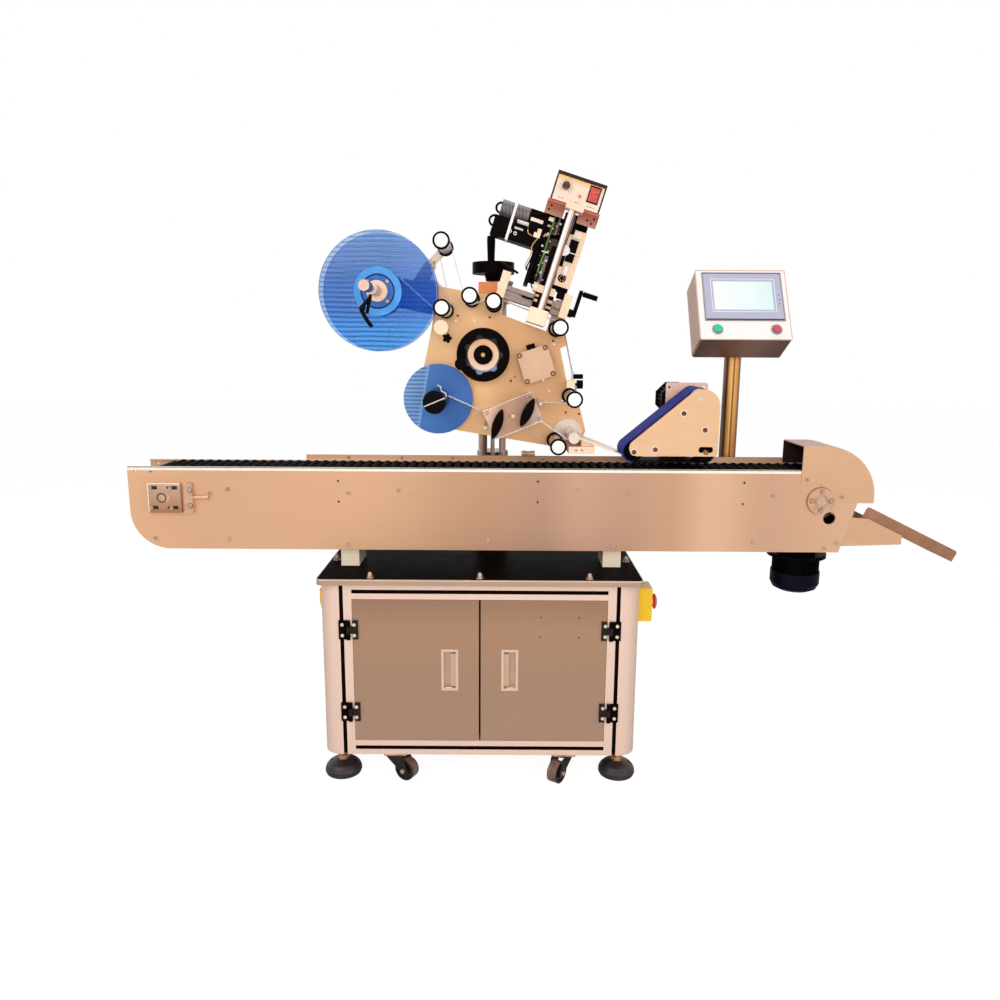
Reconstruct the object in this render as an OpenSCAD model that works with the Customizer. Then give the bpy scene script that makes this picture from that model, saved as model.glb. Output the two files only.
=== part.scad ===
// Pen labeling machine: a cabinet with a table plate, a roller chain conveyor, a labeling head on a
// lifting column, a date coder, a press belt unit and an operator panel on a pole.
// Origin: centre of the four levelling feet on the floor, X along the conveyor, Y to the back, Z up.

/* [Table plate and cabinet] */
// length of the table plate along the conveyor
plate_length = 864; // [700:1:1100]
// width of the table plate from front to back
plate_width = 560; // [460:1:760]
// thickness of the table plate
plate_thick = 16; // [10:1:25]
// height of the table plate's top above the floor
plate_top = 581; // [500:1:700]
// height of the cabinet's underside above the floor
cabinet_bottom = 76; // [66:1:120]
// distance from the plate's edge back to the cabinet's face
cabinet_set_back = 15; // [5:1:40]
// width of the round-cornered corner profiles
post_size = 89; // [60:1:110]
// outer radius of the corner profiles
post_round = 48; // [20:1:56]
// height and depth of the horizontal rails
rail_size = 42; // [30:1:60]
// width of the profile slots
slot_width = 10.5; // [5:0.5:12]
// depth of the profile slots
slot_depth = 9; // [4:1:12]
// thickness of the two doors
door_thick = 18; // [12:1:24]
// gap between the two doors
door_gap = 5; // [3:1:8]
// thickness of the cabinet's sheet panels
sheet_thick = 3; // [2:1:5]

/* [Feet and casters] */
// diameter of a levelling foot's pad
pad_diameter = 102; // [80:1:120]
// height of a levelling foot's pad
pad_height = 41; // [30:1:46]
// diameter of a levelling foot's stem
stem_diameter = 16; // [12:1:20]
// Feet: distance of their stems from the plate's ends
foot_inset_x = 46; // [30:1:60]
// Feet: distance of their stems from the plate's long sides
foot_inset_y = 62; // [50:1:74]
// diameter of a caster wheel
wheel_diameter = 60; // [44:1:62]
// width of a caster wheel
wheel_width = 28; // [18:1:32]
// distance from a caster's swivel axis to its axle
caster_trail = 36; // [24:1:40]
// Casters: distance of their pivots from the plate's ends
caster_inset_x = 198; // [180:1:260]
// Casters: distance of their pivots from the plate's long sides
caster_inset_y = 38; // [36:1:50]

/* [Conveyor] */
// height of the side panels' top edge above the floor
panel_top = 860; // [820:1:960]
// height of the side panels
panel_height = 227; // [215:1:250]
// thickness of the side panels
panel_thick = 6; // [4:1:8]
// width over the side panels
conveyor_width = 154; // [140:1:170]
// length of the conveyor from its left end to the drive shaft
conveyor_reach = 1880; // [1840:1:2000]
// pitch of the roller chain
chain_pitch = 25.4; // [25:0.1:26]
// number of chain pitches in one straight run
run_pitches = 70; // [60:1:70]
// number of chain pitches around one full wheel
wheel_pitches = 18; // [18:2:18]
// diameter of a chain roller
chain_roller = 22; // [16:0.5:23]
// length of a chain roller
chain_roller_length = 118; // [90:1:120]
// radius of the end hood
hood_radius = 140; // [120:1:150]
// thickness of the hood and chute sheet
hood_sheet = 2.5; // [1.5:0.5:4]
// length of the exit chute
chute_length = 288; // [200:1:340]
// slope of the exit chute in degrees
chute_slope = 26; // [15:1:35]

/* [Labeling head] */
// thickness of the head plate
head_thick = 12; // [8:1:16]
// diameter of the guide rollers' flanges
roller_flange = 45; // [38:1:46]
// diameter of the guide rollers' bodies
roller_body = 34; // [26:1:36]
// length of the guide rollers
roller_length = 169; // [140:1:175]
// diameter of the unwinding discs
unwind_diameter = 319; // [240:1:326]
// diameter of the rewinding disc
rewind_diameter = 196; // [150:1:210]
// diameter of the rewinding hub
rewind_hub = 62; // [40:1:70]
// diameter of the front handwheel
cross_wheel = 144; // [100:1:150]
// side of the square feed motor cover
motor_side = 88; // [60:1:92]
// length of the nip plate
nip_length = 140; // [130:1:150]
// width of the nip plate
nip_width = 81; // [74:1:90]

/* [Lifting column] */
// diameter of the left column post
post_left = 26; // [20:1:28]
// diameter of the right column post
post_right = 20; // [16:1:24]
// height of the top handwheel's rim above the floor
lift_wheel_height = 1391; // [1385:1:1460]
// diameter of the top handwheel
lift_wheel = 122; // [90:1:126]

/* [Date coder] */
// tilt of the coder's rails in degrees
coder_tilt = 17.3; // [10:0.1:22]
// height of the coder's post above its rails
coder_post_height = 276; // [268:1:288]
// width of the control box
box_width = 133; // [110:1:150]
// height of the control box
box_height = 72; // [50:1:84]

/* [Operator panel] */
// width of the operator panel
hmi_width = 254; // [200:1:270]
// height of the operator panel along its face
hmi_height = 222; // [180:1:230]
// depth of the operator panel
hmi_depth = 100; // [70:1:110]
// lean of the operator panel in degrees
hmi_lean = 29; // [15:1:40]
// diameter of the panel's pole
pole_diameter = 48; // [38:1:54]

/* [Press unit] */
// width of the press belt
press_belt_width = 100; // [70:1:102]
// outer radius of the press belt where it turns
press_turn = 30; // [24:1:31]
// thickness of the press belt
press_belt_thick = 3; // [2:0.5:5]

/* [Fits] */
// radial clearance between a shaft and its bore
fit = 0.06; // [0.02:0.01:0.1]
// clearance of a piece that is seated against another
seat = 0.3; // [0.2:0.1:0.4]
// clearance round pieces that move
gap = 1; // [0.6:0.1:1.4]
// overrun of the cutting tools
cut = 1; // [0.5:0.5:2]

/* [Hidden] */
$fn = 48;

// Colours of the materials.
sand_metal = [0.84, 0.67, 0.52];
pale_metal = [0.88, 0.82, 0.78];
bright_metal = [0.78, 0.78, 0.80];
black_plastic = [0.07, 0.06, 0.06];
cream_paint = [0.93, 0.80, 0.64];
navy_paint = [0.08, 0.10, 0.22];
signal_yellow = [0.96, 0.74, 0.02];
signal_red = [0.80, 0.16, 0.12];
blue_plastic = [0.16, 0.38, 0.72];

// Plain solids between two positions along an axis.
module block(x0, x1, y0, y1, z0, z1) {
  translate([x0, y0, z0])
    cube([x1 - x0, y1 - y0, z1 - z0]);
}
module bar_x(x0, x1, y, z, d) {
  translate([x0, y, z])
    rotate([0, 90, 0])
      cylinder(h = x1 - x0, d = d);
}
module bar_y(x, y0, y1, z, d) {
  translate([x, y0, z])
    rotate([-90, 0, 0])
      cylinder(h = y1 - y0, d = d);
}
module bar_z(x, y, z0, z1, d) {
  translate([x, y, z0])
    cylinder(h = z1 - z0, d = d);
}
// A plate drawn in the X and Z plane and made thick along Y.
module plate_y(y0, y1) {
  translate([0, y1, 0])
    rotate([90, 0, 0])
      linear_extrude(height = y1 - y0)
        children();
}
module round_rect(x0, x1, z0, z1, r) {
  translate([x0 + r, z0])
    square([x1 - x0 - 2 * r, z1 - z0]);
  translate([x0, z0 + r])
    square([x1 - x0, z1 - z0 - 2 * r]);
  for (x = [x0 + r, x1 - r])
    for (z = [z0 + r, z1 - r])
      translate([x, z])
        circle(r = r);
}
// A rounded strip from one spot to another, with its half width between the two round ends.
module link_shape(a, b, r, half) {
  translate(a)
    circle(r = r);
  translate(b)
    circle(r = r);
  translate(a)
    rotate(atan2(b[1] - a[1], b[0] - a[0]))
      translate([0, -half])
        square([norm(b - a), 2 * half]);
}
// A screw head on a face that looks to the front.
module head_y(x, y, z, d, h) {
  difference() {
    bar_y(x, y - h, y, z, d);
    translate([x, y - h - cut, z])
      rotate([-90, 0, 0])
        cylinder(h = h / 2 + cut, d = d / 2, $fn = 6);
  }
}

// Cabinet sizes that follow from the sections above.
side_share = 0.1;
face_y = -plate_width / 2 + cabinet_set_back;
cab_x = plate_length / 2 - cabinet_set_back * side_share;
cab_top = plate_top - plate_thick;
post_inner_x = cab_x - post_size;
post_inner_y = -face_y - post_size;
slot_inset = 28;
rail_low = cabinet_bottom + rail_size;
rail_high = cab_top - rail_size;
stem_depth = 44;
foot_x = plate_length / 2 - foot_inset_x;
foot_y = plate_width / 2 - foot_inset_y;
caster_x = plate_length / 2 - caster_inset_x;
caster_y = plate_width / 2 - caster_inset_y;

module post_profile() {
  difference() {
    intersection() {
      square([post_size, post_size]);
      union() {
        translate([post_round, 0])
          square([post_size - post_round, post_size]);
        translate([0, post_round])
          square([post_size, post_size - post_round]);
        translate([post_round, post_round])
          circle(r = post_round);
      }
    }
    translate([post_size - slot_inset - slot_width / 2, -cut])
      square([slot_width, slot_depth + cut]);
    translate([-cut, post_size - slot_inset - slot_width / 2])
      square([slot_depth + cut, slot_width]);
  }
}
module corner_posts() {
  for (side = [0, 1])
    mirror([side, 0, 0])
      for (end = [0, 1])
        mirror([0, end, 0])
          difference() {
            translate([-cab_x, face_y, cabinet_bottom])
              linear_extrude(height = cab_top - cabinet_bottom)
                post_profile();
            bar_z(-foot_x, -foot_y, cabinet_bottom - cut,
              cabinet_bottom + stem_depth, stem_diameter + 2 * fit);
          }
}
// A rail along X whose slot looks to the front, with its lower front corner at the origin.
module rail_x(length) {
  difference() {
    cube([length, rail_size, rail_size]);
    translate([-cut, -cut, (rail_size - slot_width) / 2])
      cube([length + 2 * cut, slot_depth + cut, slot_width]);
  }
}
module cabinet_frame() {
  color(pale_metal) {
    corner_posts();
    for (end = [0, 1])
      mirror([0, end, 0])
        for (z = [cabinet_bottom, rail_high])
          translate([-post_inner_x, face_y, z])
            rail_x(2 * post_inner_x);
    for (side = [0, 1])
      mirror([side, 0, 0])
        for (z = [cabinet_bottom, rail_high])
          translate([-cab_x, post_inner_y, z])
            rotate([0, 0, -90])
              rail_x(2 * post_inner_y);
  }
}

// Sheets behind the slots of the rails, and the cabinet's floor.
sheet_inset = 14;
floor_z = cabinet_bottom + (rail_size - sheet_thick) / 2;
module cabinet_panels() {
  color(pale_metal) {
    for (side = [0, 1])
      mirror([side, 0, 0])
        block(-cab_x + sheet_inset, -cab_x + sheet_inset + sheet_thick,
          -post_inner_y, post_inner_y, rail_low, rail_high);
    block(-post_inner_x, post_inner_x, -face_y - sheet_inset - sheet_thick,
      -face_y - sheet_inset, rail_low, rail_high);
    block(-cab_x + rail_size, cab_x - rail_size, -post_inner_y, post_inner_y, floor_z,
      floor_z + sheet_thick);
    block(-post_inner_x, post_inner_x, face_y + rail_size, -post_inner_y, floor_z,
      floor_z + sheet_thick);
    block(-post_inner_x, post_inner_x, post_inner_y, -face_y - rail_size, floor_z,
      floor_z + sheet_thick);
  }
}

// Doors with their hinges, recessed pulls and the moving hinge leaves.
hinge_height = 53;
hinge_leaf = 26;
hinge_thick = 4.5;
hinge_barrel = 11;
hinge_pin = 5;
hinge_x = post_inner_x + 10;
hinge_y = face_y - hinge_barrel / 2;
hinge_low = 203;
hinge_top = 438;
hinge_levels = [hinge_low, hinge_top];
hinge_middle_share = 0.4;
hinge_screw = 9;
hinge_screw_rise = 2;
hinge_screw_out = 16;
hinge_screw_up = 15;
pull_x = 81;
pull_z = 325;
pull_width = 46;
pull_height = 118;
pull_depth = 14;
pull_rim = 5;
pull_rise = 2;
pull_wall = 2;
module hinge_screws(out) {
  for (z = hinge_levels)
    for (rise = [-hinge_screw_up, hinge_screw_up])
      bar_y(out, face_y - hinge_thick - hinge_screw_rise, face_y - hinge_thick, z + rise,
        hinge_screw);
}
module pull_block(inset, y0, y1) {
  block(-pull_x - pull_width / 2 + inset, -pull_x + pull_width / 2 - inset, y0, y1,
    pull_z - pull_height / 2 + inset, pull_z + pull_height / 2 - inset);
}
module door_pull() {
  difference() {
    union() {
      pull_block(0, face_y - pull_rise, face_y);
      pull_block(pull_rim, face_y - pull_rise, face_y + pull_depth);
    }
    pull_block(pull_rim + pull_wall, face_y - pull_rise - cut, face_y + pull_depth - pull_wall);
  }
}
module moving_leaves() {
  for (z = hinge_levels) {
    difference() {
      union() {
        block(-hinge_x, -post_inner_x + gap, hinge_y, face_y - gap,
          z - hinge_height * hinge_middle_share / 2 + gap / 2,
          z + hinge_height * hinge_middle_share / 2 - gap / 2);
        block(-post_inner_x + gap, -hinge_x + hinge_leaf, face_y - hinge_thick, face_y,
          z - hinge_height / 2, z + hinge_height / 2);
        bar_z(-hinge_x, hinge_y, z - hinge_height * hinge_middle_share / 2 + gap / 2,
          z + hinge_height * hinge_middle_share / 2 - gap / 2, hinge_barrel - gap);
      }
      bar_z(-hinge_x, hinge_y, z - hinge_height / 2, z + hinge_height / 2,
        hinge_pin + 2 * fit);
    }
  }
}
module door_body() {
  color(sand_metal)
    difference() {
      block(-post_inner_x + gap, -door_gap / 2, face_y, face_y + door_thick,
        rail_low + gap, rail_high - gap);
      pull_block(pull_rim, face_y - cut, face_y + pull_depth);
      children();
    }
  color(bright_metal) {
    door_pull();
    hinge_screws(-hinge_x + hinge_screw_out);
  }
  color(black_plastic)
    moving_leaves();
}
module door_left() {
  door_body();
}
// The right door also has four small holes.
hole_small = 4;
door_hole_x = [163, 266];
door_hole_z = [419, 475];
module door_right() {
  mirror([1, 0, 0])
    door_body()
      for (x = door_hole_x)
        for (z = door_hole_z)
          bar_y(-x, face_y - cut, face_y + door_thick + cut, z, hole_small);
}

// Fixed hinge leaves with their pins, and the casters' top plates with their swivel pins.
caster_plate = 62;
caster_plate_half = 22;
caster_plate_thick = 5;
swivel_pin = 12;
swivel_drop = 10;
swivel_head = 18;
swivel_head_thick = 2.5;
module frame_hardware() {
  color(black_plastic)
    for (side = [0, 1])
      mirror([side, 0, 0])
        for (z = hinge_levels) {
          for (part = [[z - hinge_height / 2, z - hinge_height * hinge_middle_share / 2],
                       [z + hinge_height * hinge_middle_share / 2, z + hinge_height / 2]])
            bar_z(-hinge_x, hinge_y, part[0], part[1], hinge_barrel);
          block(-hinge_x - hinge_leaf, -hinge_x - hinge_barrel / 2, face_y - hinge_thick, face_y,
            z - hinge_height / 2, z + hinge_height / 2);
          for (part = [[z - hinge_height / 2, z - hinge_height * hinge_middle_share / 2],
                       [z + hinge_height * hinge_middle_share / 2, z + hinge_height / 2]])
            block(-hinge_x - hinge_barrel / 2, -hinge_x, face_y - hinge_thick, face_y,
              part[0], part[1]);
          bar_z(-hinge_x, hinge_y, z - hinge_height / 2, z + hinge_height / 2, hinge_pin);
        }
  color(bright_metal)
    for (x = [-caster_x, caster_x])
      for (y = [-caster_y, caster_y]) {
        block(x - caster_plate / 2, x + caster_plate / 2, y - caster_plate_half,
          y + caster_plate_half, cabinet_bottom - caster_plate_thick, cabinet_bottom);
        bar_z(x, y, cabinet_bottom - caster_plate_thick - swivel_drop,
          cabinet_bottom - caster_plate_thick, swivel_pin);
        bar_z(x, y, cabinet_bottom - caster_plate_thick - swivel_drop,
          cabinet_bottom - caster_plate_thick - swivel_drop + swivel_head_thick, swivel_head);
      }
}

// Table plate with rounded corners and its row of screw holes.
plate_corner = 14;
nut_inset = 18;
nut_pitch = 291;
side_nut_y = 85;
stud_diameter = 8;
nut_spots = concat(
  [for (x = [-nut_pitch, 0, nut_pitch]) for (s = [-1, 1]) [x, s * (plate_width / 2 - nut_inset)]],
  [for (s = [-1, 1]) for (t = [-1, 1]) [s * (plate_length / 2 - nut_inset), t * side_nut_y]]);
module table_plate() {
  color([0.10, 0.09, 0.09])
    difference() {
      translate([0, 0, cab_top])
        linear_extrude(height = plate_thick)
          round_rect(-plate_length / 2, plate_length / 2, -plate_width / 2, plate_width / 2,
            plate_corner);
      for (spot = nut_spots)
        bar_z(spot[0], spot[1], cab_top - cut, plate_top + cut, stud_diameter + 2 * fit);
    }
}

// Levelling feet: pads with two anchor holes, stems and lock nuts.
anchor_hole = 9;
anchor_out = 34;
pad_neck = 34;
lock_nut = 32;
lock_nut_height = 11;
pad_shares = [[0.94, 0], [1, 0.16], [0.99, 0.36], [0.92, 0.56], [0.78, 0.74], [0.6, 0.86], [0.44, 0.93]];
stem_rise = stem_depth - 2;
module levelling_foot() {
  color(black_plastic)
    difference() {
      rotate_extrude()
        polygon(concat([[0, 0]],
          [for (share = pad_shares) [share[0] * pad_diameter / 2, share[1] * pad_height]],
          [[pad_neck / 2, pad_height], [0, pad_height]]));
      for (x = [-anchor_out, anchor_out])
        bar_z(x, 0, -cut, pad_height + cut, anchor_hole);
    }
  color(bright_metal) {
    bar_z(0, 0, pad_height, cabinet_bottom + stem_rise, stem_diameter);
    for (z = [pad_height, cabinet_bottom - lock_nut_height])
      translate([0, 0, z])
        cylinder(h = lock_nut_height, d = lock_nut, $fn = 6);
  }
}
module levelling_feet() {
  for (x = [-foot_x, foot_x])
    for (y = [-foot_y, foot_y])
      translate([x, y, 0])
        levelling_foot();
}

// Swivel casters, each with a swivel disc, a fork, a wheel and an axle bolt.
race_diameter = 44;
race_thick = 4;
fork_thick = 3;
fork_eye = 15;
fork_back = 26;
fork_front = 34;
wheel_lift = 2;
axle_bolt = 8;
axle_head = 13;
axle_head_thick = 5;
hub_share = 0.45;
hub_rise = 2;
swivel_top = cabinet_bottom - caster_plate_thick - gap / 2;
axle_z = wheel_lift + wheel_diameter / 2;
fork_half = wheel_width / 2 + hub_rise + fork_thick;
caster_turns = [-28, 235, 20, 150];
module caster_body() {
  color(black_plastic) {
    difference() {
      union() {
        bar_z(0, 0, swivel_top - race_thick, swivel_top, race_diameter);
        for (s = [-1, 1])
          plate_y(s > 0 ? fork_half - fork_thick : -fork_half,
            s > 0 ? fork_half : -fork_half + fork_thick) {
            translate([caster_trail, axle_z])
              circle(r = fork_eye);
            polygon([[-fork_back, swivel_top], [-fork_back, swivel_top - race_thick],
              [caster_trail - fork_eye, axle_z], [caster_trail + fork_eye, axle_z],
              [fork_front, swivel_top]]);
          }
      }
      bar_z(0, 0, swivel_top - race_thick - cut, swivel_top + cut, swivel_pin + 2 * fit);
    }
    difference() {
      bar_y(caster_trail, -wheel_width / 2, wheel_width / 2, axle_z, wheel_diameter);
      for (s = [-1, 1])
        bar_y(caster_trail, s * wheel_width / 2 - hub_rise, s * wheel_width / 2 + hub_rise,
          axle_z, wheel_diameter * (1 - hub_share / 2));
    }
    bar_y(caster_trail, -wheel_width / 2 - hub_rise, wheel_width / 2 + hub_rise, axle_z,
      wheel_diameter * hub_share);
  }
  color(bright_metal) {
    bar_y(caster_trail, -fork_half, fork_half, axle_z, axle_bolt);
    for (s = [-1, 1])
      translate([caster_trail, s > 0 ? fork_half : -fork_half - axle_head_thick, axle_z])
        rotate([-90, 0, 0])
          cylinder(h = axle_head_thick, d = axle_head, $fn = 6);
  }
}
module caster_at(i, sx, sy) {
  translate([sx * caster_x, sy * caster_y, 0])
    rotate([0, 0, caster_turns[i]])
      caster_body();
}
module caster_1() {
  caster_at(0, -1, -1);
}
module caster_2() {
  caster_at(1, 1, -1);
}
module caster_3() {
  caster_at(2, 1, 1);
}
module caster_4() {
  caster_at(3, -1, 1);
}

// Switch boxes on the cabinet's sides: the emergency stop and the main switch.
stop_box_y = [-185, -115];
stop_box_z = [438, 532];
stop_box_depth = 44;
stop_stem = 18;
stop_travel = 4;
stop_bore_depth = 16;
main_box_y = [-190, -120];
main_box_z = [474, 520];
main_box_depth = 10;
main_knob = 42;
main_knob_thick = 5;
main_grip = 12;
main_grip_rise = 4;
main_shaft = 10;
stop_y = (stop_box_y[0] + stop_box_y[1]) / 2;
stop_z = (stop_box_z[0] + stop_box_z[1]) / 2;
main_y = (main_box_y[0] + main_box_y[1]) / 2;
main_z = (main_box_z[0] + main_box_z[1]) / 2;
module switch_boxes() {
  color(signal_yellow) {
    difference() {
      block(cab_x, cab_x + stop_box_depth, stop_box_y[0], stop_box_y[1],
        stop_box_z[0], stop_box_z[1]);
      bar_x(cab_x + stop_box_depth - stop_bore_depth, cab_x + stop_box_depth + cut, stop_y,
        stop_z, stop_stem + 2 * fit);
    }
    difference() {
      block(-cab_x - main_box_depth, -cab_x, main_box_y[0], main_box_y[1],
        main_box_z[0], main_box_z[1]);
      bar_x(-cab_x - main_box_depth - cut, -cab_x - main_box_depth / 2, main_y, main_z,
        main_shaft + 2 * fit);
    }
  }
}
// The red mushroom button stands clear of its box by more than its travel.
stop_head = 43;
stop_head_thick = 10;
stop_stand = 7;
stop_collar = 30;
module estop_button() {
  color(signal_red) {
    translate([cab_x + stop_box_depth + stop_stand, stop_y, stop_z])
      rotate([0, 90, 0])
        rotate_extrude()
          polygon([[0, 0], [stop_collar / 2, 0], [stop_head / 2, stop_head_thick / 3],
            [stop_head / 2, stop_head_thick * 2 / 3], [stop_collar / 2, stop_head_thick],
            [0, stop_head_thick]]);
    bar_x(cab_x + stop_box_depth - stop_bore_depth + stop_travel + gap,
      cab_x + stop_box_depth + stop_stand, stop_y, stop_z, stop_stem);
  }
}
module main_switch() {
  color(signal_red) {
    bar_x(-cab_x - main_box_depth - main_knob_thick, -cab_x - main_box_depth - gap, main_y,
      main_z, main_knob);
    block(-cab_x - main_box_depth - main_knob_thick - main_grip_rise,
      -cab_x - main_box_depth - main_knob_thick, main_y - main_grip / 2, main_y + main_grip / 2,
      main_z - main_knob / 2, main_z + main_knob / 2);
    bar_x(-cab_x - main_box_depth - gap - cut, -cab_x - main_box_depth / 2 - gap, main_y,
      main_z, main_shaft);
  }
}

// Conveyor positions that follow from the sections above.
front_y = -165;
back_y = front_y + conveyor_width;
mid_y = (front_y + back_y) / 2;
inner_front = front_y + panel_thick;
inner_back = back_y - panel_thick;
panel_low = panel_top - panel_height;
drive_x = 923;
panel_left = drive_x - conveyor_reach;
idler_x = drive_x - run_pitches * chain_pitch;
chain_radius = chain_pitch / 2 / sin(180 / wheel_pitches);
roller_rise = 2;
chain_z = panel_top + roller_rise - chain_roller / 2 - chain_radius;
panel_round = 105;
panel_nose_low = 984;
panel_nose_high = 1025;
panel_nose_z = 770;
panel_tail_x = 1000;
flange_reach = 11;
flange_thick = 3;
flange_end = 866;
drive_shaft_bore = 44;
idler_slot = 30;
idler_travel = 8;
inspection_hole = 34;
inspection_x = 952;
inspection_z = 729;
stand_off_d = 16;
panel_screw = 8;
upper_screws = [[-736, 789], [-687, 800], [-360, 791], [-223, 800], [264, 803], [402, 792],
  [794, 791]];
low_screws = [[-893, 662], [-692, 661], [20, 661], [748, 661], [977, 661]];
motor_screws = [[944, 645]];
side_holes = [[-387, 824], [-387, 767], [154.5, 826], [154.5, 769], [714, 826], [714, 767],
  [-936, 847], [-894, 847]];
hole_side = 6;
support_x = 364.5;
support_screw_z = 648;
support_screws = [[-support_x, support_screw_z], [support_x, support_screw_z]];
module panel_shape() {
  difference() {
    union() {
      translate([panel_left + panel_round, panel_low])
        square([panel_nose_low - panel_left - panel_round, panel_height]);
      translate([panel_left, panel_low + panel_round])
        square([panel_round, panel_height - panel_round]);
      translate([panel_left + panel_round, panel_low + panel_round])
        circle(r = panel_round);
      polygon([[panel_nose_low, panel_low], [panel_nose_high, panel_nose_z],
        [panel_nose_high, chain_z + drive_shaft_bore], [panel_tail_x, panel_top],
        [panel_nose_low, panel_top]]);
    }
    translate([drive_x, chain_z])
      circle(d = drive_shaft_bore);
    translate([idler_x - idler_travel / 2, chain_z])
      circle(d = idler_slot);
    translate([idler_x + idler_travel * 2, chain_z])
      circle(d = idler_slot);
    translate([idler_x - idler_travel / 2, chain_z - idler_slot / 2])
      square([idler_travel * 5 / 2, idler_slot]);
    translate([inspection_x, inspection_z])
      circle(d = inspection_hole);
    for (spot = concat(upper_screws, low_screws, motor_screws, support_screws))
      translate(spot)
        circle(d = panel_screw + 2 * fit);
    for (spot = side_holes)
      translate(spot)
        circle(d = hole_side);
  }
}
module side_panel_front() {
  color(sand_metal) {
    plate_y(front_y, inner_front)
      panel_shape();
    block(panel_left, flange_end, front_y, front_y + flange_reach, panel_top - flange_thick,
      panel_top);
  }
}
// The rear panel also carries the guide rail on its outer side.
guide_left = -508;
guide_thick = 4;
guide_low = 828;
guide_top = 875;
module side_panel_rear() {
  color(sand_metal) {
    plate_y(inner_back, back_y)
      panel_shape();
    block(panel_left, flange_end, back_y - flange_reach, back_y, panel_top - flange_thick,
      panel_top);
  }
  color([0.62, 0.40, 0.28])
    block(guide_left, flange_end, back_y, back_y + guide_thick, guide_low, guide_top);
}

// Roller chain: rollers on pins that sit in two side bands, one all round at each side.
band_out = 6;
band_thick = 3;
chain_pin = 8;
module chain_band(y) {
  plate_y(y, y + band_thick)
    difference() {
      link_shape([idler_x, chain_z], [drive_x, chain_z], chain_radius + band_out,
        chain_radius + band_out);
      link_shape([idler_x, chain_z], [drive_x, chain_z], chain_radius - band_out,
        chain_radius - band_out);
    }
}
module chain_station(x, z) {
  bar_y(x, mid_y - chain_roller_length / 2, mid_y + chain_roller_length / 2, z, chain_roller);
  bar_y(x, mid_y - chain_roller_length / 2 - gap - band_thick,
    mid_y + chain_roller_length / 2 + gap + band_thick, z, chain_pin);
}
module roller_chain() {
  color(black_plastic) {
    chain_band(mid_y - chain_roller_length / 2 - gap - band_thick);
    chain_band(mid_y + chain_roller_length / 2 + gap);
    for (i = [0 : run_pitches])
      for (s = [-1, 1])
        chain_station(idler_x + i * chain_pitch, chain_z + s * chain_radius);
    for (i = [1 : wheel_pitches / 2 - 1]) {
      turn = 90 - i * 360 / wheel_pitches;
      chain_station(drive_x + chain_radius * cos(turn), chain_z + chain_radius * sin(turn));
      chain_station(idler_x - chain_radius * cos(turn), chain_z + chain_radius * sin(turn));
    }
  }
}

// Shafts with the wheels that carry the chain from inside.
shaft_d = 25;
drum_d = 2 * (chain_radius - chain_roller / 2 - gap);
drum_width = 12;
drum_hub = 44;
drum_hub_width = 8;
drum_inset = 12;
drum_rim = 9;
drum_hole = 14.4;
module chain_wheel(x, y, s) {
  difference() {
    union() {
      bar_y(x, y, y + drum_width, chain_z, drum_d);
      bar_y(x, s > 0 ? y + drum_width : y - drum_hub_width,
        s > 0 ? y + drum_width + drum_hub_width : y, chain_z, drum_hub);
    }
    for (turn = [0 : 60 : 300])
      translate([x, 0, chain_z])
        rotate([0, turn, 0])
          bar_y((drum_d + drum_hub - drum_rim) / 4, y - cut, y + drum_width + cut, 0, drum_hole);
  }
}
module shaft_with_wheels(x, y0, y1) {
  color(bright_metal) {
    bar_y(x, y0, y1, chain_z, shaft_d);
    chain_wheel(x, mid_y - chain_roller_length / 2 + drum_inset, 1);
    chain_wheel(x, mid_y + chain_roller_length / 2 - drum_inset - drum_width, -1);
  }
}
flange_d = 72;
flange_deep = 9;
boss_d = 36;
boss_deep = 4;
flange_hole_r = 25.7;
flange_screw = 10;
module drive_shaft() {
  shaft_with_wheels(drive_x, front_y - flange_deep - boss_deep, back_y + flange_deep + boss_deep);
}

// Tension blocks, one on each side panel, that carry the idler shaft between them.
tension_left = -901;
tension_right = -812;
tension_low = 736;
tension_high = 818;
tension_thick = 12;
tension_slot_x = [-892, -837];
tension_slot_up = 27.5;
tension_slot = 7;
tension_tail = 10;
stop_left = -803;
stop_right = -780;
tension_screw_tip = -811;
tension_screw_end = -739;
tension_screw_d = 9;
tension_screw_head = 11.4;
tension_screw_head_long = 12;
module tension_slots(y0, y1) {
  for (x = tension_slot_x)
    for (s = [-1, 1])
      plate_y(y0, y1)
        round_rect(x - idler_travel - tension_slot / 2 - gap, x + tension_tail + tension_slot / 2,
          chain_z + s * tension_slot_up - tension_slot / 2,
          chain_z + s * tension_slot_up + tension_slot / 2, tension_slot / 2 - gap / 4);
}
module tension_at(y0, y1) {
  difference() {
    block(tension_left, tension_right, y0, y1, tension_low, tension_high);
    bar_y(idler_x, y0 - cut, y1 + cut, chain_z, shaft_d + 2 * fit);
    tension_slots(y0 - cut, y1 + cut);
  }
}
module tension_block() {
  color(bright_metal) {
    tension_at(front_y - tension_thick - seat, front_y - seat);
    tension_at(back_y + seat, back_y + tension_thick + seat);
  }
}
module idler_shaft() {
  shaft_with_wheels(idler_x, front_y - tension_thick, back_y + tension_thick);
}

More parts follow.
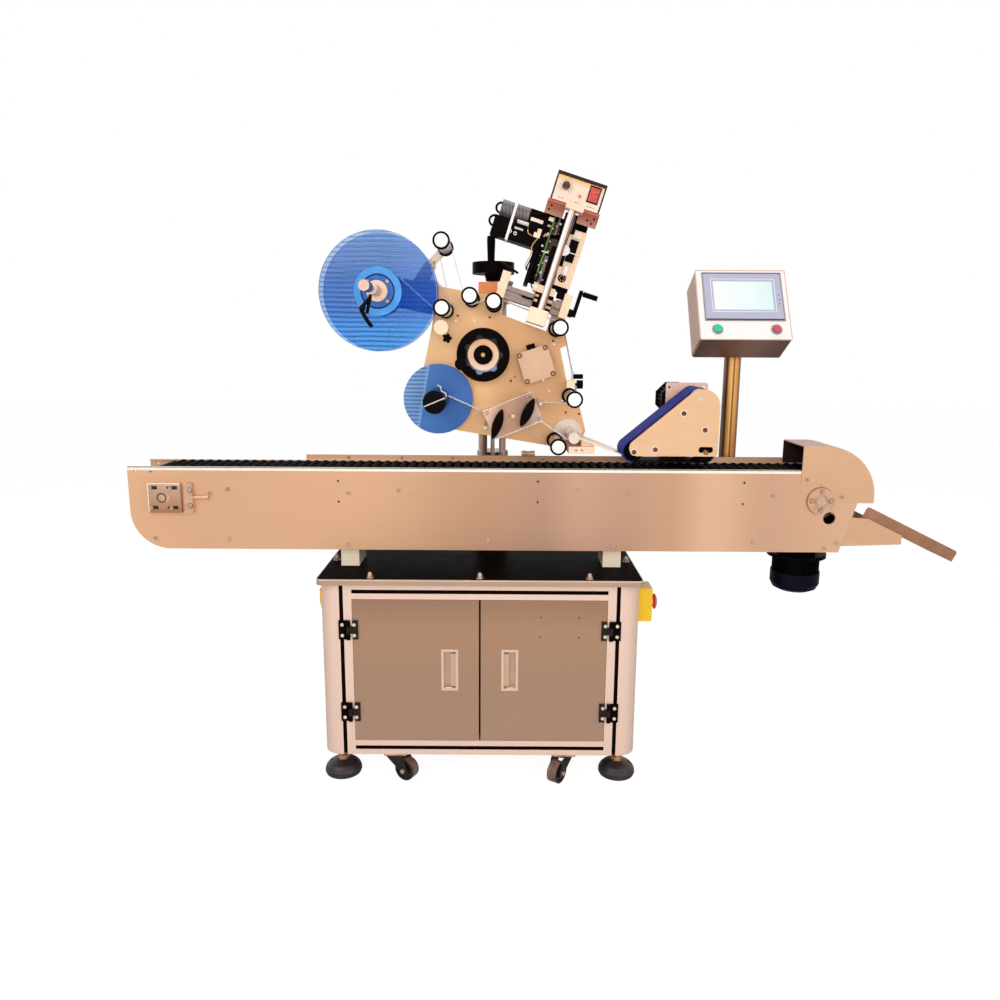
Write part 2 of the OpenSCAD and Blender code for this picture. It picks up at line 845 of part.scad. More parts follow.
// Bearing flanges of the drive shaft, and the stops and screws of the tension blocks.
tension_bolt = 5.6;
tension_bolt_head = 10;
tension_bolt_high = 4;
module drive_flange(s) {
  y = s < 0 ? front_y : back_y;
  difference() {
    union() {
      bar_y(drive_x, s < 0 ? y - flange_deep : y, s < 0 ? y : y + flange_deep, chain_z, flange_d);
      bar_y(drive_x, s < 0 ? y - flange_deep - boss_deep : y,
        s < 0 ? y : y + flange_deep + boss_deep, chain_z, boss_d);
    }
    bar_y(drive_x, y - flange_d, y + flange_d, chain_z, shaft_d + 2 * fit);
  }
  for (turn = [0 : 90 : 270])
    translate([drive_x, 0, chain_z])
      rotate([0, turn, 0])
        if (s < 0)
          head_y(flange_hole_r, y - flange_deep, 0, flange_screw, flange_hole_r / 6);
        else
          mirror([0, 1, 0])
            head_y(flange_hole_r, -y - flange_deep, 0, flange_screw, flange_hole_r / 6);
}
module tension_fixings(y, s) {
  out = y + s * (tension_thick + 2 * seat);
  for (x = tension_slot_x)
    for (up = [-tension_slot_up, tension_slot_up]) {
      bar_y(x, min(y, out), max(y, out), chain_z + up, tension_bolt);
      bar_y(x, min(out, out + s * tension_bolt_high), max(out, out + s * tension_bolt_high),
        chain_z + up, tension_bolt_head);
    }
  difference() {
    block(stop_left, stop_right, min(y, out), max(y, out), tension_low, tension_high);
    bar_x(stop_left - cut, stop_right + cut, y + s * tension_thick / 2, chain_z,
      tension_screw_d - seat);
  }
  bar_x(tension_screw_tip + idler_travel, tension_screw_end, y + s * tension_thick / 2, chain_z,
    tension_screw_d);
  bar_x(tension_screw_end - tension_screw_head_long, tension_screw_end,
    y + s * tension_thick / 2, chain_z, tension_screw_head);
}
module bearings() {
  color(bright_metal) {
    for (s = [-1, 1]) {
      drive_flange(s);
      tension_fixings(s < 0 ? front_y : back_y, s);
    }
  }
}

// Supports between the table plate and the conveyor, with bushes to both side panels, the
// stand-offs between the panels and the two rails that the chain's bands run on.
support_width = 50;
support_front = -143;
support_back = 2 * mid_y - support_front;
support_wall = 5;
support_top = 672;
support_bush = 22;
chain_rail_high = 7;
chain_rail_top = chain_z + chain_radius - band_out - seat;
module conveyor_supports() {
  color(pale_metal)
    for (x = [-support_x, support_x]) {
      difference() {
        block(x - support_width / 2, x + support_width / 2, support_front, support_back,
          plate_top, support_top);
        block(x - support_width / 2 + support_wall, x + support_width / 2 - support_wall,
          support_front + support_wall, support_back - support_wall,
          plate_top + support_wall, support_top - support_wall);
      }
      bar_y(x, inner_front, support_front, support_screw_z, support_bush);
      bar_y(x, support_back, inner_back, support_screw_z, support_bush);
    }
  color(bright_metal) {
    for (spot = concat(upper_screws, low_screws))
      bar_y(spot[0], inner_front, inner_back, spot[1], stand_off_d);
    block(idler_x, drive_x, inner_front, mid_y - chain_roller_length / 2 - seat,
      chain_rail_top - chain_rail_high, chain_rail_top);
    block(idler_x, drive_x, mid_y + chain_roller_length / 2 + seat, inner_back,
      chain_rail_top - chain_rail_high, chain_rail_top);
  }
}

// Screws of the side panels, the hood and the guide rail, and the dome nuts of the table plate.
screw_high = 4;
screw_head = 9;
hood_screws = [[882, 836], [979, 789]];
guide_screws = [-385, -232, -84, 175];
nut_flat = 15;
nut_low = 8;
washer_d = 20;
washer_thick = 1.6;
dome_d = 12;
dome_high = 16;
module fasteners() {
  color(bright_metal) {
    for (spot = concat(upper_screws, low_screws, motor_screws, support_screws)) {
      head_y(spot[0], front_y, spot[1], screw_head + 2, screw_high);
      bar_y(spot[0], front_y, inner_front, spot[1], panel_screw);
      bar_y(spot[0], inner_back, back_y, spot[1], panel_screw);
      mirror([0, 1, 0])
        head_y(spot[0], -back_y, spot[1], screw_head + 2, screw_high);
    }
    for (spot = hood_screws)
      head_y(spot[0], front_y - hood_sheet, spot[1], screw_head, screw_high);
    for (x = guide_screws)
      head_y(x, back_y, (guide_top + panel_top) / 2, screw_head, screw_high);
    for (spot = nut_spots)
      translate([spot[0], spot[1], plate_top]) {
        cylinder(h = washer_thick, d = washer_d);
        translate([0, 0, washer_thick])
          cylinder(h = nut_low, d = nut_flat, $fn = 6);
        rotate_extrude()
          polygon([[0, washer_thick + nut_low], [dome_d / 2, washer_thick + nut_low],
            [dome_d * 5 / 12, dome_high - washer_thick], [dome_d / 4, dome_high],
            [0, dome_high]]);
        bar_z(0, 0, -plate_thick, washer_thick, stud_diameter);
      }
    hinge_screws(-hinge_x - hinge_screw_out);
    hinge_screws(hinge_x + hinge_screw_out);
  }
}

// End hood over the drive wheel: two cheeks outside the panels and a skin between them.
hood_left = 867;
hood_x = 928;
hood_z = 787;
hood_low = 772;
hood_notch = 38;
hood_front_low = 824;
hood_top = hood_z + hood_radius;
module hood_outline() {
  translate([hood_left, hood_low])
    square([hood_x - hood_left, hood_top - hood_low]);
  intersection() {
    translate([hood_x, hood_z])
      circle(r = hood_radius);
    translate([hood_x, hood_low])
      square([hood_radius, hood_top - hood_low]);
  }
  translate([hood_x, hood_low])
    square([hood_radius, hood_z - hood_low]);
}
module hood_cheek() {
  difference() {
    hood_outline();
    translate([drive_x, chain_z])
      circle(r = hood_notch);
    translate([hood_left - cut, hood_low - cut])
      square([drive_x - hood_left + cut, hood_front_low - hood_low + cut]);
  }
}
module end_hood() {
  color(sand_metal) {
    plate_y(front_y - hood_sheet, front_y)
      hood_cheek();
    plate_y(back_y, back_y + hood_sheet)
      hood_cheek();
    plate_y(front_y, back_y)
      difference() {
        intersection() {
          hood_outline();
          translate([hood_left, panel_top + cut])
            square([hood_radius * 2, hood_radius]);
        }
        translate([hood_left - cut, hood_low - cut])
          square([hood_x - hood_left + cut, hood_top - hood_low - hood_sheet + cut]);
        translate([hood_x, hood_z])
          circle(r = hood_radius - hood_sheet);
      }
    plate_y(front_y, back_y)
      difference() {
        intersection() {
          hood_outline();
          translate([panel_nose_high + gap, hood_low])
            square([hood_radius, panel_top - hood_low + 2 * cut]);
        }
        translate([hood_x, hood_z])
          circle(r = hood_radius - hood_sheet);
        translate([hood_x, hood_low - cut])
          square([hood_radius - hood_sheet, hood_z - hood_low + cut]);
      }
  }
}

// Exit chute: a sloping tray with a tall near wall, on two bracket sheets.
chute_x = 1048;
chute_z = 731;
chute_wall = 32;
chute_far_wall = 7;
chute_front = -152;
chute_back = -24;
chute_round = 8;
bracket_tip = 1158;
bracket_tip_z = 655;
bracket_low_z = 649;
bracket_root = 988;
bracket_root_top = 1000;
bracket_bush = 12.5;
bracket_bush_drop = 5;
bracket_knee = chute_x + chute_wall * sin(chute_slope);
bracket_bush_x = bracket_tip - chute_wall * 2;
function tray_z(x) = chute_z - (x - chute_x) * tan(chute_slope);
module chute_side(height) {
  square([chute_length, height / 2]);
  round_rect(0, chute_length, 0, height, height > chute_round * 2 ? chute_round : height / 4);
}
module chute() {
  color(sand_metal) {
    translate([chute_x, 0, chute_z])
      rotate([0, chute_slope, 0]) {
        plate_y(chute_front, chute_front + hood_sheet)
          chute_side(chute_wall);
        plate_y(chute_back - hood_sheet, chute_back)
          chute_side(chute_far_wall);
        block(0, chute_length - chute_round, chute_front, chute_back, 0, hood_sheet);
      }
    for (y = [inner_front, inner_back - hood_sheet])
      plate_y(y, y + hood_sheet)
        polygon([[bracket_root, bracket_low_z], [bracket_tip, bracket_tip_z],
          [bracket_tip, tray_z(bracket_tip) + hood_sheet],
          [bracket_knee, tray_z(bracket_knee) + hood_sheet], [bracket_root_top, chute_z]]);
    for (y = [[inner_front, chute_front + hood_sheet], [chute_back - hood_sheet, inner_back]])
      bar_y(bracket_bush_x, y[0], y[1], tray_z(bracket_bush_x) - bracket_bush_drop, bracket_bush);
  }
}

// Gear motor that hangs upright under the drive end.
motor_x = 898;
motor_plate_x = [806, 980];
motor_plate_thick = 6;
motor_plate_z = 640;
gear_side = 104;
gear_top = 688;
motor_flange = 160;
motor_flange_thick = 10;
motor_flange_z = 606;
motor_d = 128;
motor_low = 562;
motor_fin = 2;
motor_fins = 30;
cover_d = 134;
cover_low = 507;
cover_round = 22;
module gear_motor() {
  color(bright_metal) {
    block(motor_plate_x[0], motor_plate_x[1], inner_front, inner_back, motor_plate_z,
      motor_plate_z + motor_plate_thick);
    bar_z(motor_x, mid_y, motor_flange_z, motor_flange_z + motor_flange_thick, motor_flange);
    bar_z(motor_x, mid_y, motor_flange_z + motor_flange_thick, motor_plate_z, gear_side);
  }
  color(black_plastic)
    block(motor_x - gear_side / 2, motor_x + gear_side / 2, mid_y - gear_side / 2,
      mid_y + gear_side / 2, motor_plate_z + motor_plate_thick, gear_top);
  color([0.05, 0.06, 0.12]) {
    bar_z(motor_x, mid_y, motor_low, motor_flange_z, motor_d - motor_fin * 4);
    for (i = [0 : motor_fins - 1])
      translate([motor_x, mid_y, motor_low])
        rotate([0, 0, i * 360 / motor_fins])
          translate([motor_d / 2 - motor_fin * 3, -motor_fin, 0])
            cube([motor_fin * 3, motor_fin * 2, motor_flange_z - motor_low]);
  }
  color(navy_paint)
    translate([motor_x, mid_y, cover_low])
      rotate_extrude()
        polygon([[0, 0], [cover_d / 2 - cover_round, 0],
          [cover_d / 2 - cover_round / 3, cover_round / 3], [cover_d / 2, cover_round],
          [cover_d / 2, motor_low - cover_low], [0, motor_low - cover_low]]);
}

// Lifting column: pedestal, flange, two posts, a screw with the counter, and a top block.
column_x = 28.5;
column_y = 112;
column_width = 93;
flange_low = 861;
flange_high = 875;
post_gap_x = 29.5;
lift_screw = 12;
column_top_low = 1306;
column_top_high = 1334;
counter_high = 1368;
counter_width = 56;
counter_deep = 40;
counter_x = column_x - 15;
lift_head = 1386;
pedestal_wall = 6;
module lift_column() {
  color(pale_metal) {
    difference() {
      block(column_x - column_width / 2, column_x + column_width / 2,
        column_y - column_width / 2, column_y + column_width / 2, plate_top, flange_low);
      block(column_x - column_width / 2 + pedestal_wall, column_x + column_width / 2 - pedestal_wall,
        column_y - column_width / 2 + pedestal_wall, column_y + column_width / 2 - pedestal_wall,
        plate_top + pedestal_wall, flange_low - pedestal_wall);
    }
    bar_z(column_x, column_y, flange_low, flange_high, column_width);
    block(column_x - column_width / 2, column_x + column_width / 2,
      column_y - column_width / 4, column_y + column_width / 4, column_top_low, column_top_high);
  }
  color(bright_metal) {
    bar_z(column_x - post_gap_x, column_y, flange_high, column_top_low, post_left);
    bar_z(column_x + post_gap_x, column_y, flange_high, column_top_low, post_right);
    bar_z(column_x, column_y, flange_high, lift_head, lift_screw);
  }
  color([0.94, 0.43, 0.13])
    difference() {
      block(counter_x - counter_width / 2, counter_x + counter_width / 2,
        column_y - counter_deep / 2, column_y + counter_deep / 2, column_top_high, counter_high);
      bar_z(column_x, column_y, column_top_high - cut, counter_high + cut, lift_screw);
    }
}

// A dished handwheel that lies flat, with its revolving handle; its hub starts at the origin.
wheel_hub = 42;
wheel_hub_drop = 21;
wheel_rim_high = 32;
wheel_web_high = 12;
wheel_rim_thick = 17;
handle_d = 24;
handle_length = 68;
handle_neck = 12;
handle_out = 49;
module lift_handwheel() {
  translate([column_x, column_y, lift_wheel_height])
    color(black_plastic) {
      difference() {
        union() {
          bar_z(0, 0, 0, wheel_rim_high, lift_wheel);
          rotate_extrude()
            polygon([[0, -wheel_hub_drop + gap], [wheel_hub / 2, -wheel_hub_drop + gap],
              [wheel_hub / 2 + wheel_hub_drop / 4, 0], [0, 0]]);
        }
        difference() {
          bar_z(0, 0, wheel_web_high, wheel_rim_high + cut, lift_wheel - 2 * wheel_rim_thick);
          bar_z(0, 0, 0, wheel_rim_high + cut, wheel_hub);
        }
        bar_z(0, 0, -wheel_hub_drop - cut, lift_head - lift_wheel_height + gap / 2,
          lift_screw + 2 * fit);
      }
      bar_z(-handle_d / 4, -handle_out, wheel_web_high, wheel_rim_high + handle_neck / 2,
        handle_neck);
      translate([-handle_d / 4, -handle_out, wheel_rim_high])
        rotate_extrude()
          polygon([[0, 0], [handle_d / 2 - 2 * cut, 0], [handle_d / 2, handle_length - handle_neck],
            [handle_d / 2 - cut, handle_length], [0, handle_length]]);
    }
}

// Carriage on the posts, with bores for the posts, the screw and the head's two slide rods.
carriage_x = [-64, 121];
carriage_y = [42, 150];
carriage_z = [1048, 1166];
rod_d = 16;
rod_x = [-46, 103];
rod_z = [1072, 1142];
cross_x = 4;
cross_z = 1162;
cross_screw = 12;
cross_travel = 15;
nose_wall = 14;
carriage_nose = cross_z + cross_screw / 2 + nose_wall;
module lift_carriage() {
  color(bright_metal)
    difference() {
      union() {
        block(carriage_x[0], carriage_x[1], carriage_y[0], carriage_y[1],
          carriage_z[0], carriage_z[1]);
        block(cross_x - cross_screw * 2, cross_x + cross_screw * 2, carriage_y[0],
          column_y - post_left, carriage_z[0], carriage_nose);
      }
      bar_z(column_x - post_gap_x, column_y, carriage_z[0] - cut, carriage_nose + cut,
        post_left + 2 * fit);
      bar_z(column_x + post_gap_x, column_y, carriage_z[0] - cut, carriage_nose + cut,
        post_right + 2 * fit);
      bar_z(column_x, column_y, carriage_z[0] - cut, carriage_nose + cut, lift_screw + 2 * fit);
      bar_y(cross_x, carriage_y[0] - cut, column_y - post_left + cut, cross_z,
        cross_screw + 2 * fit);
      for (x = rod_x)
        for (z = rod_z)
          bar_y(x, carriage_y[0] - cut, carriage_y[1] + cut, z, rod_d + 2 * fit);
    }
}

// Head plate.
head_y0 = 10;
head_y1 = head_y0 + head_thick;
head_outline = [[-125, 1350], [-66, 1339], [9, 1323], [35, 1280], [120, 1249], [193, 1223],
  [236, 1219], [239, 1188], [220, 1180], [239, 1094], [281, 1012], [298, 946], [289, 925],
  [214, 899], [-74, 946], [-166, 963], [-186, 995], [-167, 1128], [-145, 1229]];
head_holes = [[-76, 1256], [-24, 1256], [206, 1210], [203, 1192], [38, 1120], [34, 1112],
  [92, 1100], [174, 1090], [230, 1052], [256, 1047], [230, 1033], [252, 1030], [192, 1060]];
hole_head = 5;
cross_bore = 14;
rewind_x = -124;
rewind_z = 1038;
feed_x = 85;
feed_z = 1003;
module head_plate() {
  color(sand_metal)
    plate_y(head_y0, head_y1)
      difference() {
        polygon(head_outline);
        for (spot = head_holes)
          translate(spot)
            circle(d = hole_head);
        translate([cross_x, cross_z])
          circle(d = cross_bore);
        translate([feed_x, feed_z])
          circle(d = feed_shaft + 2 * fit);
      }
}

// Guide rollers: flanged bodies on fixed studs; a cap closes the front end.
stud_d = 12;
front_cap_y = -165;
roller_end_y = front_cap_y + roller_length;
stud_end_y = front_cap_y + 12;
roller_lip = 8;
roller_rear_lip = 6;
roller_spots = [[-103, 1283], [-30, 1314], [32, 1300], [207, 1234], [249, 1047], [208, 920]];
module roller_at(x, z) {
  color(black_plastic)
    difference() {
      union() {
        bar_y(x, front_cap_y, front_cap_y + roller_lip, z, roller_flange);
        bar_y(x, roller_end_y - roller_rear_lip, roller_end_y, z, roller_flange);
        bar_y(x, front_cap_y, roller_end_y, z, roller_body);
      }
      bar_y(x, stud_end_y - gap, roller_end_y + cut, z, stud_d + 2 * fit);
    }
}
module guide_roller_1() {
  roller_at(roller_spots[0][0], roller_spots[0][1]);
}
module guide_roller_2() {
  roller_at(roller_spots[1][0], roller_spots[1][1]);
}
module guide_roller_3() {
  roller_at(roller_spots[2][0], roller_spots[2][1]);
}
module guide_roller_4() {
  roller_at(roller_spots[3][0], roller_spots[3][1]);
}
module guide_roller_5() {
  roller_at(roller_spots[4][0], roller_spots[4][1]);
}
module guide_roller_6() {
  roller_at(roller_spots[5][0], roller_spots[5][1]);
}

// Dancer arm with its roller, on a pin of the strut behind the unwinding discs.
dancer_x = -146;
dancer_z = 1408;
dancer_roller_x = -103;
dancer_roller_z = 1451;
dancer_width = 26;
dancer_waist = 11;
dancer_thick = 5;
dancer_y = head_y0 - seat - dancer_thick - gap / 2;
dancer_pin = 10;
dancer_head = 16;
module dancer_arm() {
  color(cream_paint)
    difference() {
      plate_y(dancer_y, dancer_y + dancer_thick)
        link_shape([dancer_x, dancer_z], [dancer_roller_x, dancer_roller_z], dancer_width / 2,
          dancer_waist);
      bar_y(dancer_x, dancer_y - cut, dancer_y + dancer_thick + cut, dancer_z,
        dancer_pin + 2 * fit);
    }
  color(bright_metal)
    bar_y(dancer_roller_x, stud_end_y, dancer_y, dancer_roller_z, stud_d);
}
dancer_roller_end = dancer_y - seat;
module dancer_roller() {
  color(black_plastic)
    difference() {
      union() {
        bar_y(dancer_roller_x, front_cap_y, front_cap_y + roller_lip, dancer_roller_z,
          roller_flange);
        bar_y(dancer_roller_x, dancer_roller_end - roller_rear_lip, dancer_roller_end,
          dancer_roller_z, roller_flange);
        bar_y(dancer_roller_x, front_cap_y, dancer_roller_end, dancer_roller_z, roller_body);
      }
      bar_y(dancer_roller_x, stud_end_y - gap, dancer_roller_end + cut, dancer_roller_z,
        stud_d + 2 * fit);
    }
}

// Unwinding unit: two discs and a hub that turn on a long fixed shaft.
unwind_x = -281.5;
unwind_z = 1329;
unwind_front = -78;
unwind_rear = -14;
disc_thick = 3;
core_d = 76;
unwind_shaft = 20;
unwind_tip = -300;
barrel_d = 27;
barrel_start = -240;
collar_d = 56;
collar_front = -96;
collar_knob = 30;
collar_knob_front = -190;
disc_screw = 9;
disc_screw_r = 37;
module unwind_discs() {
  color(blue_plastic)
    for (y = [unwind_front, unwind_rear - disc_thick])
      difference() {
        bar_y(unwind_x, y, y + disc_thick, unwind_z, unwind_diameter);
        bar_y(unwind_x, y - cut, y + disc_thick + cut, unwind_z, core_d / 2);
      }
}
clamp_d = 9;
clamp_length = 64;
clamp_lean = 12;
module reel_hub() {
  color(black_plastic) {
    difference() {
      union() {
        bar_y(unwind_x, unwind_front + disc_thick, unwind_rear - disc_thick, unwind_z, core_d);
        bar_y(unwind_x, unwind_front, unwind_rear, unwind_z, core_d / 2 - seat);
        bar_y(unwind_x, collar_front, unwind_front, unwind_z, collar_d);
        bar_y(unwind_x, collar_knob_front, collar_front, unwind_z, collar_knob);
      }
      bar_y(unwind_x, collar_knob_front - cut, unwind_rear + cut, unwind_z,
        unwind_shaft + 2 * fit);
    }
    translate([unwind_x, 0, unwind_z])
      rotate([0, clamp_lean - 180, 0])
        bar_z(0, collar_knob_front + clamp_d, collar_knob / 2 - cut, clamp_length, clamp_d);
  }
  color(bright_metal)
    for (turn = [45 : 90 : 315])
      translate([unwind_x, 0, unwind_z])
        rotate([0, turn, 0])
          bar_y(disc_screw_r, unwind_front - disc_thick, unwind_front, 0, disc_screw);
}

// Rewinding reel: a disc and a slotted hub on its shaft.
rewind_disc_y = -30;
rewind_front = -169;
rewind_shaft = 14;
rewind_clip = 2.4;
rewind_clip_rise = 5;
rewind_clip_turn = -25;
module rewind_reel() {
  color(blue_plastic)
    bar_y(rewind_x, rewind_disc_y, rewind_disc_y + disc_thick, rewind_z, rewind_diameter);
  color(black_plastic)
    difference() {
      bar_y(rewind_x, rewind_front, rewind_disc_y, rewind_z, rewind_hub);
      translate([rewind_x, rewind_front - cut, rewind_z])
        rotate([0, rewind_clip_turn, 0])
          translate([-rewind_hub, 0, -rewind_clip / 2])
            cube([2 * rewind_hub, rewind_clip_rise + cut, rewind_clip]);
    }
  color(bright_metal)
    difference() {
      bar_y(rewind_x, rewind_disc_y + disc_thick, head_y0 - gap, rewind_z, rewind_shaft * 2);
      bar_y(rewind_x, rewind_disc_y + disc_thick + gap, head_y0 + cut, rewind_z,
        rewind_shaft + 2 * fit);
    }
}

// Front handwheel of the cross slide, on the slide's screw.
cross_front = -104;
cross_rear = -80;
cross_rim = 17;
cross_hub = 52;
cross_core = 30;
cross_nut = 12;
cross_nut_high = 4;
cross_handle_d = 32;
cross_handle_front = -142;
cross_handle = [-59, -24];
cross_scallops = 7;
cross_scallop = 19;
cross_scallop_in = 27;
module cross_handwheel() {
  color(black_plastic) {
    difference() {
      bar_y(cross_x, cross_front, cross_rear, cross_z, cross_wheel);
      difference() {
        translate([cross_x, 0, cross_z])
          union() {
            bar_y(0, cross_front - cut, cross_rear - cross_nut, 0, cross_wheel - 3 * cross_rim);
            for (i = [0 : cross_scallops - 1])
              rotate([0, i * 360 / cross_scallops, 0])
                bar_y(cross_wheel / 2 - cross_scallop_in, cross_front - cut,
                  cross_rear - cross_nut, 0, cross_scallop);
          }
        bar_y(cross_x, cross_front - 2 * cut, cross_rear, cross_z, cross_hub);
      }
    }
    bar_y(cross_x, cross_front - cross_nut / 2, cross_front, cross_z, cross_core);
    bar_y(cross_x + cross_handle[0], cross_handle_front, cross_front,
      cross_z + cross_handle[1], cross_handle_d);
  }
  color([0.80, 0.62, 0.30])
    translate([cross_x, cross_front - cross_nut / 2 - cross_nut_high, cross_z])
      rotate([-90, 0, 0])
        cylinder(h = cross_nut_high, d = cross_nut, $fn = 6);
  color(bright_metal)
    bar_y(cross_x, cross_rear, column_y - post_left - cross_travel, cross_z, cross_screw);
}

// Feed roller behind the nip plate, and the two lever knobs in front of it.
nip_front = -165;
nip_thick = 12;
nip_back = nip_front + nip_thick;
nip_turn = -22.2;
feed_d = 52;
feed_shaft = 14;
feed_front = -148;
feed_back = 2;
module feed_roller() {
  color([0.16, 0.15, 0.15])
    bar_y(feed_x, feed_front, feed_back, feed_z, feed_d);
  color(bright_metal)
    bar_y(feed_x, nip_front - gap, head_y1, feed_z, feed_shaft);
}
knob_left = [44, 983];
knob_right = [123, 1014];
knob_long = 80;
knob_wide = 26;
knob_thick = 20;
knob_stem = 12;
knob_stand = 4;
knob_turns = [18, 25];
module nip_knob(spot, turn) {
  color(black_plastic)
    translate([spot[0], 0, spot[1]])
      rotate([0, turn, 0]) {
        plate_y(nip_front - knob_stand - knob_thick, nip_front - knob_stand)
          intersection() {
            translate([knob_long - knob_wide / 2, 0])
              circle(r = knob_long);
            translate([knob_wide / 2 - knob_long, 0])
              circle(r = knob_long);
            square([knob_wide, knob_long], center = true);
          }
        bar_y(0, nip_front - knob_stand, nip_back - nip_thick / 4, 0, knob_stem);
      }
}
module nip_knob_left() {
  nip_knob(knob_left, knob_turns[0]);
}
module nip_knob_right() {
  nip_knob(knob_right, knob_turns[1]);
}

// Fittings of the head plate: studs, slide rods, feed motor, nip plate, unwinding arm, sensor,
// brake knob and the inclined rails of the date coder.
stud_flange = 24;
stud_flange_thick = 5;
feed_motor = [150, 1136];
feed_motor_front = -62;
feed_motor_turn = -17.8;
motor_corner = 11;
motor_screw = 9;
motor_screw_in = 9;
motor_screw_out = motor_side / 2 - motor_screw_in;
motor_lid = 6;
plug_width = 24;
plug_high = 14;
plug_deep = 30;
nip_post = 16;
nip_post_in = 14;
nip_screw = 10;
nip_small = 7;
nip_pin = [[10, 971], [159, 1035]];
nip_pin_d = 9;
nip_pin_front = -158;
brass_ring = 20;
arm_outline = [[-323, 1310], [-303, 1292], [-238, 1290], [-131, 1270], [-100, 1280], [-100, 1335],
  [-131, 1366], [-150, 1366], [-132, 1402], [-134, 1416], [-146, 1422], [-160, 1416],
  [-196, 1366], [-245, 1374], [-303, 1366], [-323, 1348]];
arm_thick = 12;
arm_boss = 44;
brake = [-108, 1234];
brake_stem = 14;
brake_d = 38;
brake_y = [-125, -104];
brake_star = [-94, 1206];
star_d = 26;
star_core = 18;
star_points = 5;
star_y = [-100, -76];
star_stem = 8;
rail_origin = [47, 1314];
rail_w = 14;
rail_h = 12;
rail_low_w = 1;
rail_high_w = 24;
rail_y = [-104, -46];
end_left_u = [-11, 11];
end_right_u = [165, 187];
end_top = [70, 62];
end_y = [-112, -38];
lead_d = 10;
lead_z = 19;
lead_y = (end_y[0] + end_y[1]) / 2;
lead_in = 12;
carrier_low_w = -52;
module in_coder() {
  translate([rail_origin[0], 0, rail_origin[1]])
    rotate([0, coder_tilt, 0])
      children();
}
module stud(x, z) {
  bar_y(x, stud_end_y, head_y0, z, stud_d);
  bar_y(x, roller_end_y + gap, head_y0, z, stud_flange);
}
module head_studs() {
  for (spot = roller_spots)
    stud(spot[0], spot[1]);
  bar_y(rewind_x, rewind_disc_y + disc_thick + 2 * gap, head_y0, rewind_z, rewind_shaft);
  for (x = rod_x)
    for (z = rod_z)
      bar_y(x, head_y1, carriage_y[1] + 2 * cross_travel, z, rod_d);
}
module feed_motor_cover() {
  translate([feed_motor[0], 0, feed_motor[1]])
    rotate([0, feed_motor_turn, 0]) {
      color(cream_paint)
        plate_y(feed_motor_front, feed_motor_front + motor_lid)
          difference() {
            round_rect(-motor_side / 2, motor_side / 2, -motor_side / 2, motor_side / 2,
              motor_corner);
            for (x = [-1, 1])
              for (z = [-1, 1])
                translate([x * motor_screw_out, z * motor_screw_out])
                  circle(d = motor_screw + 2 * fit);
          }
      color(bright_metal)
        for (x = [-1, 1])
          for (z = [-1, 1])
            bar_y(x * motor_screw_out, feed_motor_front + motor_lid / 3,
              feed_motor_front + motor_lid, z * motor_screw_out, motor_screw);
      color(black_plastic) {
        plate_y(feed_motor_front + motor_lid, head_y0)
          round_rect(-motor_side / 2 + motor_lid / 3, motor_side / 2 - motor_lid / 3,
            -motor_side / 2 + motor_lid / 3, motor_side / 2 - motor_lid / 3, motor_corner);
        block(-plug_width / 2, plug_width / 2, feed_motor_front + motor_lid,
          feed_motor_front + motor_lid + plug_deep, motor_side / 2 - motor_lid / 3,
          motor_side / 2 + plug_high);
      }
    }
}
module nip_plate() {
  color(bright_metal) {
    difference() {
      translate([feed_x, 0, feed_z])
        rotate([0, nip_turn, 0])
          plate_y(nip_front, nip_back)
            round_rect(-nip_length / 2, nip_length / 2, -nip_width / 2, nip_width / 2,
              nip_screw / 2);
      bar_y(feed_x, nip_front - cut, nip_back + cut, feed_z, feed_shaft + 2 * fit);
      for (spot = [knob_left, knob_right])
        bar_y(spot[0], nip_front - cut, nip_back + cut, spot[1], knob_stem + 2 * fit);
    }
    translate([feed_x, 0, feed_z])
      rotate([0, nip_turn, 0])
        for (x = [-1, 1])
          for (z = [-1, 1]) {
            bar_y(x * (nip_length / 2 - nip_post_in), nip_back, head_y0,
              z * (nip_width / 2 - nip_post_in), nip_post);
            head_y(x * (nip_length / 2 - nip_screw), nip_front, z * (nip_width / 2 - nip_screw),
              nip_screw, nip_small / 2);
          }
    for (spot = nip_pin)
      bar_y(spot[0], nip_pin_front, head_y0, spot[1], nip_pin_d);
  }
  color([0.80, 0.62, 0.30])
    difference() {
      bar_y(feed_x, nip_front - nip_small / 2, nip_front, feed_z, brass_ring);
      bar_y(feed_x, nip_front - nip_small, nip_front + cut, feed_z, feed_shaft + 2 * fit);
    }
}
module unwind_arm() {
  color(pale_metal) {
    plate_y(head_y1, head_y1 + arm_thick)
      polygon(arm_outline);
    bar_y(unwind_x, unwind_rear + gap, head_y1, unwind_z, arm_boss);
    bar_y(unwind_x, barrel_start, unwind_rear + gap, unwind_z, unwind_shaft);
    bar_y(dancer_x, dancer_y, head_y1, dancer_z, dancer_pin);
    bar_y(dancer_x, dancer_y + dancer_thick + gap / 2, head_y1, dancer_z, dancer_width - gap);
    bar_y(dancer_x, dancer_y - stud_flange_thick, dancer_y - gap / 2, dancer_z,
      dancer_head);
    bar_y(dancer_x, dancer_y - stud_flange_thick, dancer_y, dancer_z, dancer_pin);
  }
  color([0.10, 0.18, 0.38])
    bar_y(unwind_x, unwind_tip, barrel_start, unwind_z, barrel_d);
}
